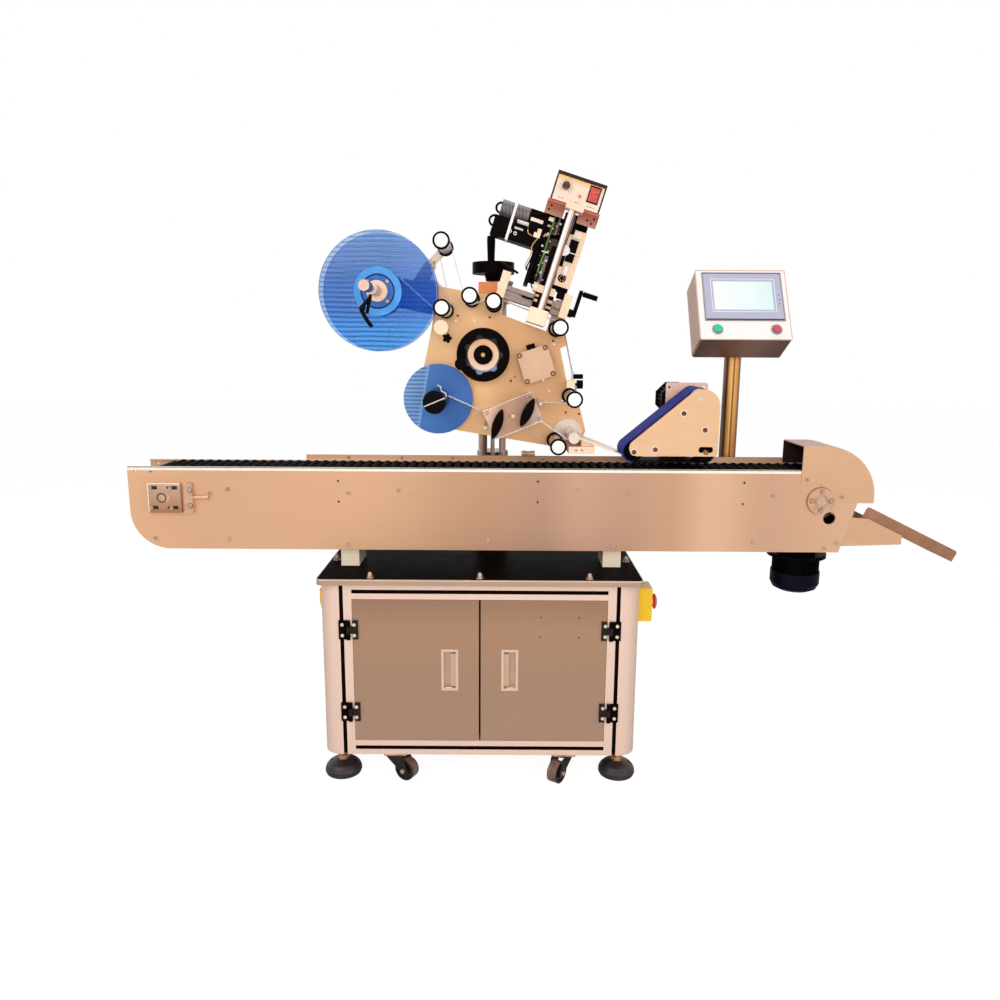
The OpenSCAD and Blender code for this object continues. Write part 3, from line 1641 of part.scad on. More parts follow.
module brake_knobs() {
  color(cream_paint) {
    bar_y(brake[0], brake_y[0], brake_y[1], brake[1], brake_d);
    bar_y(brake[0], brake_y[1], head_y0, brake[1], brake_stem);
  }
  color(black_plastic) {
    bar_y(brake_star[0], star_y[0], star_y[1], brake_star[1], star_core);
    for (i = [0 : star_points - 1])
      translate([brake_star[0], 0, brake_star[1]])
        rotate([0, i * 360 / star_points, 0])
          bar_y(star_d / 3, star_y[0], star_y[1], 0, star_d / 3);
    bar_y(brake_star[0], star_y[1], head_y0, brake_star[1], star_stem);
  }
}
module coder_rails() {
  color(bright_metal)
    in_coder() {
      for (w = [rail_low_w, rail_high_w])
        for (y = [rail_y[0], rail_y[1] - rail_w])
          block(end_left_u[1], end_right_u[0], y, y + rail_w, w, w + rail_h);
    }
  color(cream_paint)
    in_coder() {
      difference() {
        union() {
          block(end_left_u[0], end_left_u[1], end_y[0], end_y[1], rail_low_w, end_top[0]);
          block(end_right_u[0], end_right_u[1], end_y[0], end_y[1], -rail_low_w, end_top[1]);
        }
        bar_x(end_left_u[1] - lead_in / 2, end_right_u[1] + cut, lead_y, lead_z,
          lead_d + 2 * fit);
      }
      block(end_left_u[0], end_left_u[1], end_y[1], head_y1, lead_in, end_top[0] - lead_in);
      block(end_right_u[0], end_right_u[1], end_y[1], head_y1, lead_in, end_top[1] - lead_in);
      block(end_left_u[0], end_left_u[1] + lead_in, head_y1, head_y1 + arm_thick / 2, carrier_low_w,
        end_top[0] - lead_in);
      block(end_right_u[0] - lead_in, end_right_u[1], head_y1, head_y1 + arm_thick / 2,
        carrier_low_w - lead_in, end_top[1] - lead_in);
    }
}
sensor_block = [[228, 250], [1078, 1097]];
sensor_y = [-150, -120];
sensor_pin = 8;
sensor_pin_x = 245;
sensor_pin_top = 1120;
sensor_screw = 13;
sensor_end_x = 272;
sensor_star_x = 256;
sensor_star_d = 23;
module sensor_holder() {
  color(cream_paint) {
    block(sensor_block[0][0], sensor_block[0][1], sensor_y[0], sensor_y[1], sensor_block[1][0],
      sensor_block[1][1]);
    bar_y(sensor_block[0][0] + sensor_screw, sensor_y[1], head_y0,
      sensor_block[1][0] + sensor_screw / 2, sensor_pin);
  }
  color(bright_metal)
    bar_z(sensor_pin_x, (sensor_y[0] + sensor_y[1]) / 2, sensor_block[1][1], sensor_pin_top,
      sensor_pin);
  color(black_plastic) {
    bar_x(sensor_pin_x, sensor_end_x, (sensor_y[0] + sensor_y[1]) / 2,
      sensor_pin_top - sensor_screw, sensor_screw);
    bar_x(sensor_star_x, sensor_end_x, (sensor_y[0] + sensor_y[1]) / 2,
      sensor_block[1][0] + sensor_pin, sensor_star_d);
    bar_x(sensor_block[0][1], sensor_star_x, (sensor_y[0] + sensor_y[1]) / 2,
      sensor_block[1][0] + sensor_pin, star_stem);
  }
}
module head_fittings() {
  color(bright_metal)
    head_studs();
  feed_motor_cover();
  nip_plate();
  unwind_arm();
  brake_knobs();
  coder_rails();
  sensor_holder();
}

// Peel plate with its bracket disc, carrier block, comb blocks and turning bar.
peel_disc = [246, 941];
peel_disc_d = 82;
peel_disc_thick = 6;
peel_block = [[236, 306], [902, 921]];
peel_y = [-165, -16];
peel_top = [[262, 946], [382, 899], [382, 897], [262, 940]];
peel_plate_y = [-150, -20];
peel_slope = (peel_top[3][1] - peel_top[2][1]) / (peel_top[2][0] - peel_top[3][0]);
comb = [[272, 304], [938, 919]];
comb_count = 5;
comb_thick = 8;
comb_pitch = (peel_plate_y[1] - peel_plate_y[0] - 3 * comb_thick) / (comb_count - 1);
turn_bar = [250, 944];
turn_bar_d = 30;
peel_hole = 6;
peel_hole_x = [256, 272];
peel_hole_z = 912;
module peel_plate() {
  color(bright_metal) {
    plate_y(head_y0 - peel_disc_thick, head_y0)
      difference() {
        translate(peel_disc)
          circle(d = peel_disc_d);
        translate([peel_disc[0] - peel_disc_d, peel_disc[1] - peel_disc_d])
          square([2 * peel_disc_d, peel_disc_d / 2 + comb_thick]);
        translate(roller_spots[5])
          circle(d = roller_flange + 2 * gap);
      }
    plate_y(peel_plate_y[0], peel_plate_y[1])
      polygon(peel_top);
    bar_y(turn_bar[0], peel_y[0], head_y0 - peel_disc_thick, turn_bar[1], turn_bar_d);
  }
  color(cream_paint) {
    difference() {
      block(peel_block[0][0], peel_block[0][1], peel_y[0], head_y0 - peel_disc_thick / 2,
        peel_block[1][0], peel_block[1][1]);
      for (x = peel_hole_x)
        bar_y(x, peel_y[0] - cut, peel_y[0] + peel_hole * 2, peel_hole_z, peel_hole);
    }
    for (i = [0 : comb_count - 1]) {
      y = peel_plate_y[0] + comb_thick + i * comb_pitch;
      plate_y(y, y + comb_thick)
        polygon([[comb[0][0], comb[1][1]], [comb[0][1], comb[1][1]],
          [comb[0][1], peel_top[3][1] - (comb[0][1] - peel_top[0][0]) * peel_slope],
          [comb[0][0], peel_top[3][1] - (comb[0][0] - peel_top[0][0]) * peel_slope]]);
    }
  }
}

// Date coder on a slide of the rails; u runs along the rails and w stands across them.
slide_u = [88, 138];
slide_w = [-38, 42];
slide_y = [-122, -28];
post_u = 115;
post_y = -134;
post_d = 19;
post_foot = 30;
foot_u = [86, 134];
clamp_u = [94, 142];
clamp_high = 14;
clamp_w = [coder_post_height - clamp_high, coder_post_height];
clamp_y = [-150, -112];
module coder_post() {
  in_coder() {
    color(cream_paint) {
      difference() {
        block(slide_u[0], slide_u[1], slide_y[0], slide_y[1], slide_w[0], slide_w[1]);
        for (w = [rail_low_w, rail_high_w])
          for (y = [rail_y[0], rail_y[1] - rail_w])
            block(slide_u[0] - cut, slide_u[1] + cut, y - fit, y + rail_w + fit,
              w - fit, w + rail_h + fit);
        bar_x(slide_u[0] - cut, slide_u[1] + cut, lead_y, lead_z,
          lead_d + 2 * fit);
      }
      block(foot_u[0], foot_u[1], post_y - post_foot / 2, slide_y[0], slide_w[0], rail_low_w);
      block(clamp_u[0], clamp_u[1], clamp_y[0], clamp_y[1], clamp_w[0], clamp_w[1]);
    }
    color(bright_metal)
      bar_z(post_u, post_y, rail_low_w, clamp_w[0], post_d);
  }
}
// Mechanism of the coder: back plate, frame bars, motor, gear housing, ribbon spool and discs.
spine_u = [50, 62];
spine_w = [16, 252];
spine_y = [-96, -30];
cheek_u = [128, 172];
cheek_w = [76, 226];
cheek_y = [-92, -86];
web_u = [62, 128];
web_y = [-40, -34];
web_w = [64, 252];
coder_motor_w = 224;
coder_motor_u = [-66, 12];
coder_motor_d = 46;
coder_motor_y = -62;
housing_u = [-74, 50];
housing_w = [148, 200];
housing_y = [-96, -36];
tie_u = [-32, -25];
neck_u = [12, 50];
neck_w = [200, 244];
spool = [142, 122];
spool_d = 44;
spool_y = [-86, -44];
gears = [[84, 214, 34], [96, 168, 44], [80, 120, 30], [92, 84, 38]];
gear_y = [-78, -66];
strip_u = [76, 80];
strip_w = [150, 246];
strip_y = [-84, -56];
latch_u = [136, 158];
latch_w = [150, 200];
latch_y = [-86, -52];
cable_d = 6;
cable_r = 13;
module loop_cable(u, w, turn) {
  translate([u, coder_motor_y, w])
    rotate([0, turn, 0])
      rotate([90, 0, 0])
        rotate_extrude(angle = 180)
          translate([cable_r, 0])
            circle(d = cable_d, $fn = 16);
}
module coder_body() {
  in_coder() {
    color(black_plastic) {
      block(spine_u[0], spine_u[1], spine_y[0], spine_y[1], spine_w[0] + rail_high_w + rail_h,
        spine_w[1]);
      block(housing_u[0], housing_u[1], housing_y[0], housing_y[1], housing_w[0], housing_w[1]);
      block(neck_u[0], neck_u[1], housing_y[0] + neck_u[0], housing_y[1] - neck_u[0], neck_w[0],
        neck_w[1]);
      block(web_u[0], web_u[1] + cheek_u[1] - cheek_u[0], web_y[0], web_y[1], web_w[0],
        web_w[1] - gap);
      block(latch_u[0], latch_u[1], latch_y[0], latch_y[1], latch_w[0], latch_w[1]);
      for (i = [0 : len(gears) - 1])
        bar_y(gears[i][0], gear_y[1], web_y[0], gears[i][1], gears[i][2] / 3);
      loop_cable(housing_u[0], coder_motor_w - coder_motor_d / 2 - cable_r, -90);
      loop_cable(coder_motor_u[0], coder_motor_w, -90);
    }
    color([0.45, 0.45, 0.47]) {
      bar_x(coder_motor_u[0], coder_motor_u[1], coder_motor_y, coder_motor_w, coder_motor_d);
      for (i = [0 : len(gears) - 1])
        bar_y(gears[i][0], gear_y[0], gear_y[1], gears[i][1], gears[i][2]);
    }
    color(cream_paint) {
      block(cheek_u[0], cheek_u[1], cheek_y[0], cheek_y[1], cheek_w[0], cheek_w[1]);
      bar_y(spool[0], spool_y[0], spool_y[1], spool[1], spool_d);
      bar_y(spool[0], spool_y[1], web_y[0], spool[1], spool_d / 3);
      bar_y(cheek_u[1] - spool_d / 4, cheek_y[1], web_y[0], cheek_w[1] - spool_d / 4, spool_d / 4);
      block(slide_u[0], slide_u[1], slide_y[0] + spool_d / 2, slide_y[1] - spool_d / 4, slide_w[1],
        web_w[0]);
      block(slide_u[0], slide_u[1], web_y[0], slide_y[1] - spool_d / 8, slide_w[1], web_w[0] + cut);
    }
    color([0.25, 0.55, 0.20])
      block(strip_u[0], strip_u[1], strip_y[0], strip_y[1] + spool_d / 4, strip_w[0], strip_w[1]);
    color([0.92, 0.92, 0.90])
      difference() {
        block(tie_u[0], tie_u[1], housing_y[0] - cut, housing_y[1] + cut, housing_w[0] - cut,
          coder_motor_w + coder_motor_d / 2 + cut);
        block(tie_u[0] - cut, tie_u[1] + cut, housing_y[0] + cut, housing_y[1] - cut,
          housing_w[0] + cut, coder_motor_w + coder_motor_d / 2 - cut);
      }
  }
}
// Control box above the coder, held by a bent bracket on the post's clamp.
box_u = 50;
box_over_clamp = 2;
box_w = clamp_w[1] + box_over_clamp;
box_y = [-116, -30];
box_front = -118;
box_rim = 4;
box_lid = 9;
bracket_drop = 38;
bracket_w = box_w - bracket_drop;
bracket_y = [clamp_y[1], clamp_y[1] + box_rim];
bracket_in = [96, 134];
dial_u = 80;
dial_w = box_w + 39;
dial_d = 20;
dial_shaft = 6;
dial_high = 13;
rocker_u = 156;
rocker_w = box_w + 39;
rocker_size = [25, 36];
rocker_frame = 3;
rocker_play = 0.5;
lamp_u = 122;
lamp_w = box_w + 25;
lamp_d = 8;
lamp_high = 4;
panel_deep = 2;
rocker_deep = 12;
module control_box() {
  in_coder() {
    color(black_plastic)
      difference() {
        block(box_u, box_u + box_width, box_front, box_y[1], box_w, box_w + box_height);
        block(box_u + box_rim, box_u + box_width - box_rim, box_front - cut,
          box_front + panel_deep, box_w - cut, box_w + box_height - box_lid);
        bar_y(dial_u, box_front - cut, box_front + panel_deep + dial_high, dial_w,
          dial_shaft + 2 * fit);
        block(rocker_u - rocker_size[0] / 2, rocker_u + rocker_size[0] / 2, box_front - cut,
          box_front + panel_deep + rocker_deep, rocker_w - rocker_size[1] / 2,
          rocker_w + rocker_size[1] / 2);
      }
    color(cream_paint)
      difference() {
        block(box_u + box_rim, box_u + box_width - box_rim, box_front,
          box_front + panel_deep, box_w, box_w + box_height - box_lid);
        bar_y(dial_u, box_front - cut, box_front + panel_deep + cut, dial_w,
          dial_shaft + 2 * fit);
        block(rocker_u - rocker_size[0] / 2, rocker_u + rocker_size[0] / 2, box_front - cut,
          box_front + panel_deep + cut, rocker_w - rocker_size[1] / 2,
          rocker_w + rocker_size[1] / 2);
      }
    color([0.70, 0.36, 0.30])
      difference() {
        block(box_u - box_rim, box_u + box_width + box_rim, bracket_y[0], bracket_y[1],
          bracket_w, box_w);
        block(bracket_in[0], bracket_in[1], bracket_y[0] - cut, bracket_y[1] + cut,
          bracket_w - cut, box_w + cut);
      }
    color([0.95, 0.45, 0.35])
      bar_y(lamp_u, box_front - lamp_high, box_front, lamp_w, lamp_d);
  }
}
module dial_knob() {
  color([0.20, 0.13, 0.12])
    in_coder() {
      bar_y(dial_u, box_front - gap - dial_high, box_front - gap, dial_w, dial_d);
      bar_y(dial_u, box_front - gap, box_front + panel_deep + dial_high - gap, dial_w,
        dial_shaft);
    }
}
module rocker_switch() {
  color(signal_red)
    in_coder()
      plate_x(rocker_u - rocker_size[0] / 2 + rocker_play,
        rocker_u + rocker_size[0] / 2 - rocker_play)
        polygon([[box_front - rocker_frame, rocker_w + rocker_size[1] / 2 - 2 * rocker_play],
          [box_front, rocker_w],
          [box_front - rocker_frame / 3, rocker_w - rocker_size[1] / 2 + 2 * rocker_play],
          [box_front + panel_deep + rocker_deep / 3, rocker_w - rocker_size[1] / 4],
          [box_front + panel_deep + rocker_deep / 3, rocker_w + rocker_size[1] / 4]]);
}
// A plate drawn in the Y and Z plane and made thick along X.
module plate_x(x0, x1) {
  translate([x0, 0, 0])
    rotate([90, 0, 90])
      linear_extrude(height = x1 - x0)
        children();
}
// Crank of the coder's slide: its screw runs between the end blocks.
crank_u = [201, 211];
crank_arm = 58;
crank_width = 16;
crank_hub = 22;
crank_grip = 14;
crank_grip_u = [213, 253];
crank_pin = 7;
module crank_handle() {
  in_coder() {
    color(bright_metal) {
      bar_x(end_left_u[1] - lead_in / 2 + gap, crank_u[0], lead_y, lead_z,
        lead_d);
      bar_x(crank_u[1], crank_grip_u[1], lead_y, lead_z + crank_arm,
        crank_pin);
    }
    color(black_plastic) {
      plate_x(crank_u[0], crank_u[1])
        link_shape([lead_y, lead_z], [lead_y, lead_z + crank_arm], crank_width / 2,
          crank_width / 2);
      bar_x(end_right_u[1] + gap, crank_u[0], lead_y, lead_z,
        crank_hub);
      bar_x(crank_grip_u[0], crank_grip_u[1], lead_y,
        lead_z + crank_arm, crank_grip);
    }
  }
}

// Operator panel: its pole on two clamps of the rear side panel, the leaned box and two buttons.
pole_x = 726;
pole_y = 60;
pole_low = 650;
pole_high = 1199;
pole_clamp_z = [680, 790];
pole_clamp_high = 30;
pole_clamp_d = 68;
hmi_x = 724;
hmi_y = -70;
hmi_z = 1206;
socket_d = 60;
socket_low = 1166;
socket_high = 1262;
bezel = [[-105, 109], [64, 208]];
bezel_rise = 3;
bezel_round = 6;
screen = [[-80, 85], [93, 184]];
screen_deep = 1;
button_x = [-77, 85];
button_w = 32;
button_d = 22;
button_ring = 30;
button_ring_high = 3;
button_stand = 6;
button_travel = 3;
button_bore = 16;
button_stem = 14;
hmi_round = 8;
hmi_wall = 4;
module in_hmi() {
  translate([hmi_x, hmi_y, hmi_z])
    rotate([-hmi_lean, 0, 0])
      children();
}
module hmi_pole() {
  color(bright_metal) {
    bar_z(pole_x, pole_y, pole_low, pole_high, pole_diameter);
    for (z = pole_clamp_z)
      difference() {
        union() {
          bar_z(pole_x, pole_y, z, z + pole_clamp_high, pole_clamp_d);
          block(pole_x - pole_clamp_d / 2, pole_x + pole_clamp_d / 2, back_y, pole_y, z,
            z + pole_clamp_high);
        }
        bar_z(pole_x, pole_y, z - cut, z + pole_clamp_high + cut, pole_diameter);
      }
  }
}
module hmi_box() {
  difference() {
    union() {
      color(pale_metal)
        difference() {
          union() {
            in_hmi()
              difference() {
                plate_y(0, hmi_depth)
                  round_rect(-hmi_width / 2, hmi_width / 2, 0, hmi_height, hmi_round);
                block(-hmi_width / 2 + hmi_wall, hmi_width / 2 - hmi_wall, 2 * hmi_wall,
                  hmi_depth - hmi_wall, hmi_wall, hmi_height - hmi_wall);
              }
            bar_z(pole_x, pole_y, socket_low, socket_high, socket_d);
          }
          in_hmi()
            for (x = button_x)
              bar_y(x, -cut, button_bore, button_w, button_stem + 2 * fit);
          in_hmi()
            plate_y(-cut, bezel_rise)
              round_rect(bezel[0][0], bezel[0][1], bezel[1][0], bezel[1][1], bezel_round);
        }
      color([0.72, 0.70, 0.80])
        in_hmi()
          difference() {
            plate_y(-bezel_rise, bezel_rise)
              round_rect(bezel[0][0], bezel[0][1], bezel[1][0], bezel[1][1], bezel_round);
            block(screen[0][0], screen[0][1], -bezel_rise - cut, -bezel_rise + screen_deep,
              screen[1][0], screen[1][1]);
          }
      color(bright_metal)
        in_hmi()
          for (x = button_x)
            difference() {
              bar_y(x, -button_ring_high, 0, button_w, button_ring);
              bar_y(x, -button_ring_high - cut, cut, button_w, button_d + 2 * gap);
            }
    }
    bar_z(pole_x, pole_y, socket_low - cut, pole_high + gap, pole_diameter + 2 * fit);
  }
}
module panel_button(x) {
  in_hmi() {
    bar_y(x, -button_stand - button_travel, -button_travel - gap / 2, button_w, button_d);
    bar_y(x, -button_travel - gap / 2, button_bore - button_travel - gap, button_w, button_stem);
  }
}
module start_button() {
  color([0.15, 0.60, 0.25])
    panel_button(button_x[0]);
}
module stop_button() {
  color(signal_red)
    panel_button(button_x[1]);
}

// Press unit: two plates with round corners, a belt round three rollers, a motor and a bracket.
press_corners = [[423, 917, 22], [633, 903, 8], [594, 1029, 47]];
press_axles = [[414, 906], [609, 906], [586, 1050]];
press_rods = [[544, 1011], [603, 967], [471, 913]];
press_rod_d = 16;
press_axle_d = 12;
press_plate_thick = 6;
press_edge = 6;
press_bolt = 13;
press_bolt_high = 4;
press_slot = [[589, 628], [905, 921]];
press_front = mid_y - press_belt_width / 2 - press_edge - press_plate_thick;
press_back = mid_y + press_belt_width / 2 + press_edge + press_plate_thick;
upright_x = [512, 592];
upright_y = [-5, 3];
upright_z = [775, 1000];
upright_foot_z = 820;
upright_bush = 20;
upright_bush_z = 935;
upright_bush_x = [530, 574];
drive_plate_y = [14, 20];
drive_plate_x = [527, 647];
drive_plate_z = [905, 1086];
drive_plate_round = 6;
drive_plate_hole = 7;
drive_holes = [[536, 1073], [636, 1074]];
press_motor = [564, 1036];
press_motor_d = 90;
press_motor_y = [20, 116];
press_motor_flange = 8;
press_motor_rim = 102.6;
press_motor_ribs = 24;
press_rib = 2.5;
function side_normal(a, b) =
  atan2(b[1] - a[1], b[0] - a[0]) - acos((a[2] - b[2]) / norm([b[0] - a[0], b[1] - a[1]]));
function side_point(c, turn) = [c[0] + c[2] * cos(turn), c[1] + c[2] * sin(turn)];
// A shape stretched round circles, each given by its centre and radius, in left-hand order.
module soft_shape(spots) {
  count = len(spots);
  polygon([for (i = [0 : count - 1])
    for (k = [0, 1])
      side_point(spots[(i + k) % count], side_normal(spots[i], spots[(i + 1) % count]))]);
  for (spot = spots)
    translate([spot[0], spot[1]])
      circle(r = spot[2]);
}
module press_shape() {
  difference() {
    soft_shape(press_corners);
    translate(press_axles[2])
      circle(d = press_axle_d + 2 * fit);
  }
}
module press_frame() {
  color(sand_metal) {
    plate_y(press_front, press_front + press_plate_thick)
      difference() {
        press_shape();
        round_rect(press_slot[0][0], press_slot[0][1], press_slot[1][0], press_slot[1][1],
          press_edge);
      }
    plate_y(press_back - press_plate_thick, press_back)
      press_shape();
    plate_y(drive_plate_y[0], drive_plate_y[1])
      difference() {
        round_rect(drive_plate_x[0], drive_plate_x[1], drive_plate_z[0], drive_plate_z[1],
          drive_plate_round);
        for (spot = drive_holes)
          translate(spot)
            circle(d = drive_plate_hole);
      }
    block(upright_x[0], upright_x[1], upright_y[0], upright_y[1], upright_z[0], upright_z[1]);
    block(upright_x[0], upright_x[1], back_y, upright_y[0], upright_z[0], upright_foot_z);
    for (x = upright_bush_x) {
      bar_y(x, press_back, upright_y[0], upright_bush_z, upright_bush);
      bar_y(x, upright_y[1], drive_plate_y[0], upright_bush_z, upright_bush);
    }
  }
  color(bright_metal) {
    for (spot = press_rods)
      bar_y(spot[0], press_front + press_plate_thick, press_back - press_plate_thick, spot[1],
        press_rod_d);
    for (spot = [press_rods[0], press_rods[1], press_rods[2], press_axles[0]])
      head_y(spot[0], press_front, spot[1], press_bolt, press_bolt_high);
    for (spot = [press_axles[0], press_axles[1]]) {
      bar_y(spot[0], press_front + press_plate_thick - (spot[0] > press_motor[0] ? gap : 0),
        press_back - press_plate_thick, spot[1], press_axle_d);
      bar_y(spot[0], mid_y - press_belt_width / 2, mid_y + press_belt_width / 2, spot[1],
        2 * (press_turn - press_belt_thick - seat));
    }
    head_y(press_axles[1][0], press_front + press_plate_thick, press_axles[1][1],
      press_bolt, press_plate_thick + press_bolt_high / 2);
  }
  color(black_plastic) {
    bar_y(press_motor[0], press_motor_y[0], press_motor_y[1], press_motor[1],
      press_motor_d - 4 * press_rib);
    for (i = [0 : press_motor_ribs - 1])
      translate([press_motor[0], 0, press_motor[1]])
        rotate([0, i * 360 / press_motor_ribs, 0])
          block(-press_rib / 2, press_rib / 2, press_motor_y[0] + press_motor_flange,
            press_motor_y[1] - press_motor_flange, press_motor_d / 2 - 3 * press_rib,
            press_motor_d / 2);
    for (y = [press_motor_y[0], press_motor_y[1] - press_motor_flange])
      translate([press_motor[0], y, press_motor[1]])
        rotate([0, 180 / 8, 0])
          rotate([-90, 0, 0])
            cylinder(h = press_motor_flange, d = press_motor_rim, $fn = 8);
  }
}
module press_belt() {
  color([0.22, 0.26, 0.68])
    plate_y(mid_y - press_belt_width / 2, mid_y + press_belt_width / 2)
      difference() {
        soft_shape([for (spot = press_axles) [spot[0], spot[1], press_turn]]);
        soft_shape([for (spot = press_axles) [spot[0], spot[1], press_turn - press_belt_thick]]);
      }
}
module press_roller() {
  color(bright_metal) {
    bar_y(press_axles[2][0], mid_y - press_belt_width / 2, mid_y + press_belt_width / 2,
      press_axles[2][1], 2 * (press_turn - press_belt_thick - seat));
    bar_y(press_axles[2][0], press_front, press_back, press_axles[2][1], press_axle_d);
  }
}

cabinet_frame();
cabinet_panels();
frame_hardware();
table_plate();
fasteners();
levelling_feet();
conveyor_supports();
side_panel_front();
side_panel_rear();
roller_chain();
end_hood();
gear_motor();
chute();
bearings();
lift_column();
hmi_pole();
switch_boxes();
press_frame();
press_belt();
door_left();
door_right();
caster_1();
caster_2();
caster_3();
caster_4();
estop_button();
main_switch();
tension_block();
idler_shaft();
drive_shaft();
lift_handwheel();
lift_carriage();
head_plate();
head_fittings();
peel_plate();
cross_handwheel();
unwind_discs();
reel_hub();
dancer_arm();
dancer_roller();
guide_roller_1();
guide_roller_2();
guide_roller_3();
guide_roller_4();
guide_roller_5();
guide_roller_6();
rewind_reel();
nip_knob_left();
nip_knob_right();
feed_roller();
coder_post();
coder_body();
control_box();
dial_knob();
rocker_switch();
crank_handle();
press_roller();
hmi_box();
start_button();
stop_button();
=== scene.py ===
# Looks of the pen labeling machine: camera, light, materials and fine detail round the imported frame.
import math
import bpy
import bmesh
from mathutils import Matrix, Vector


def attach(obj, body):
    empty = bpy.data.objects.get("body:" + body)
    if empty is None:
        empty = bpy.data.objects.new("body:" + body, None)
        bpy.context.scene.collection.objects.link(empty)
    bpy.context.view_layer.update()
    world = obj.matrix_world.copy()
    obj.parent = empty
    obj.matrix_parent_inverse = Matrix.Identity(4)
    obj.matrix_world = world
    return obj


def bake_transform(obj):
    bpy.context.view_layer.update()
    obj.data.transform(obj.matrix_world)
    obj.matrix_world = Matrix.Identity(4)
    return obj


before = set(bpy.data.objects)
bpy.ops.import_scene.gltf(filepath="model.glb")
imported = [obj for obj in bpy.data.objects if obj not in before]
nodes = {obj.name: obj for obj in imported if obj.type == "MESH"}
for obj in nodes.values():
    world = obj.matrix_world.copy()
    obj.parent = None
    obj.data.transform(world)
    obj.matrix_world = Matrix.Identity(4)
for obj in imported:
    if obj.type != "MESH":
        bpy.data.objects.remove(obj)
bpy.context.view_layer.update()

scene = bpy.context.scene
MM = 0.001

# Camera, fitted to the plate, the panels and the feet in the photograph (metres and degrees).
LENS = 28.8
SENSOR_WIDTH = 36.0
CAMERA_SPOT = (0.052, -2.3023, 1.1886)
CAMERA_PITCH = 10.965
CAMERA_ROLL = 0.35
VIEW_END = 100.0
cam_data = bpy.data.cameras.new("camera")
cam_data.lens = LENS
cam_data.sensor_width = SENSOR_WIDTH
cam_data.clip_end = VIEW_END
camera = bpy.data.objects.new("camera", cam_data)
scene.collection.objects.link(camera)
camera.matrix_world = (Matrix.Translation(CAMERA_SPOT)
    @ Matrix.Rotation(math.radians(90 - CAMERA_PITCH), 4, "X")
    @ Matrix.Rotation(math.radians(CAMERA_ROLL), 4, "Z"))
scene.camera = camera
scene.view_settings.view_transform = "Standard"


def node(tree, kind, values=(), **settings):
    """A shader node. Each value is a constant or the socket that feeds it, by the input's name or number."""
    made = tree.nodes.new("ShaderNode" + kind)
    for key, value in settings.items():
        setattr(made, key, value)
    for key, value in dict(values).items():
        if isinstance(value, bpy.types.NodeSocket):
            tree.links.new(value, made.inputs[key])
        else:
            made.inputs[key].default_value = value
    return made


# World: white to the camera and in reflections, an even pale light on the object.
WHITE = (1.0, 1.0, 1.0, 1.0)
WARM_WHITE = (1.0, 0.985, 0.97)
WORLD_FILL = 0.27
scene.world = bpy.data.worlds.new("studio")
scene.world.use_nodes = True
tree = scene.world.node_tree
tree.nodes.clear()
path = node(tree, "LightPath").outputs
shown = path["Is Camera Ray"]
for ray in ("Is Glossy Ray", "Is Transmission Ray"):
    shown = node(tree, "Math", {0: shown, 1: path[ray]}, operation="MAXIMUM").outputs[0]
fill = node(tree, "Background", {"Color": (*WARM_WHITE, 1), "Strength": WORLD_FILL})
backdrop = node(tree, "Background", {"Color": WHITE, "Strength": 1.0})
sky = node(tree, "MixShader", {"Fac": shown, 1: fill.outputs[0], 2: backdrop.outputs[0]})
node(tree, "OutputWorld", {"Surface": sky.outputs[0]})


# Lamps, in metres and watts. The front ones stay out of reflections.
def lamp(name, kind, spot, target, watts, colour, glossy=True, **settings):
    data = bpy.data.lights.new(name, kind)
    data.energy = watts
    data.color = colour
    for key, value in settings.items():
        setattr(data, key, value)
    made = bpy.data.objects.new(name, data)
    scene.collection.objects.link(made)
    made.location = spot
    made.rotation_euler = (Vector(target) - Vector(spot)).to_track_quat("-Z", "Y").to_euler()
    made.visible_glossy = glossy


def panel_lamp(name, spot, target, size, watts, colour, glossy=True):
    lamp(name, "AREA", spot, target, watts, colour, glossy, shape="RECTANGLE", size=size[0], size_y=size[1])


panel_lamp("front", (0.05, -4.0, 1.3), (0.05, 0.0, 0.95), (2.6, 1.8), 62, WARM_WHITE, False)
panel_lamp("key", (-2.4, -3.2, 3.4), (0.0, 0.0, 0.8), (2.4, 1.6), 46, (1.0, 0.97, 0.94))
panel_lamp("fill", (2.8, -2.9, 2.2), (0.1, 0.0, 0.8), (2.2, 1.8), 26, (1.0, 0.98, 0.96))
panel_lamp("top", (0.1, 0.2, 4.0), (0.1, 0.0, 0.8), (3.0, 1.4), 26, (1.0, 0.99, 0.98))
# A soft spot from beside the camera, where the head's fittings keep the sky off its plate.
lamp("head_spot", "SPOT", (0.05, -3.1, 1.45), (0.03, 0.0, 1.14), 66, WARM_WHITE, False,
    spot_size=0.25, spot_blend=0.8, shadow_soft_size=0.25)


def new_tree(name):
    made = bpy.data.materials.new(name)
    made.use_nodes = True
    made.node_tree.nodes.clear()
    return made, made.node_tree


# Floor: pale, keeps the shadow, white towards the camera.
FLOOR_GREY = (0.86, 0.86, 0.86, 1)
FLOOR_GLOW = 1.18
FLOOR_SHARE = 0.8
FLOOR_HALF = 14.0
FLOOR_Z = -0.0005
floor_white, tree = new_tree("floor_white")
seen = node(tree, "Math", {0: node(tree, "LightPath").outputs["Is Camera Ray"], 1: FLOOR_SHARE},
    operation="MULTIPLY")
matt = node(tree, "BsdfDiffuse", {"Color": FLOOR_GREY})
glow = node(tree, "Emission", {"Color": WHITE, "Strength": FLOOR_GLOW})
top = node(tree, "MixShader", {"Fac": seen.outputs[0], 1: matt.outputs[0], 2: glow.outputs[0]})
node(tree, "OutputMaterial", {"Surface": top.outputs[0]})
floor_mesh = bpy.data.meshes.new("floor")
corners = [(x * FLOOR_HALF, y * FLOOR_HALF, FLOOR_Z) for x, y in ((-1, -1), (1, -1), (1, 1), (-1, 1))]
floor_mesh.from_pydata(corners, [], [(0, 1, 2, 3)])
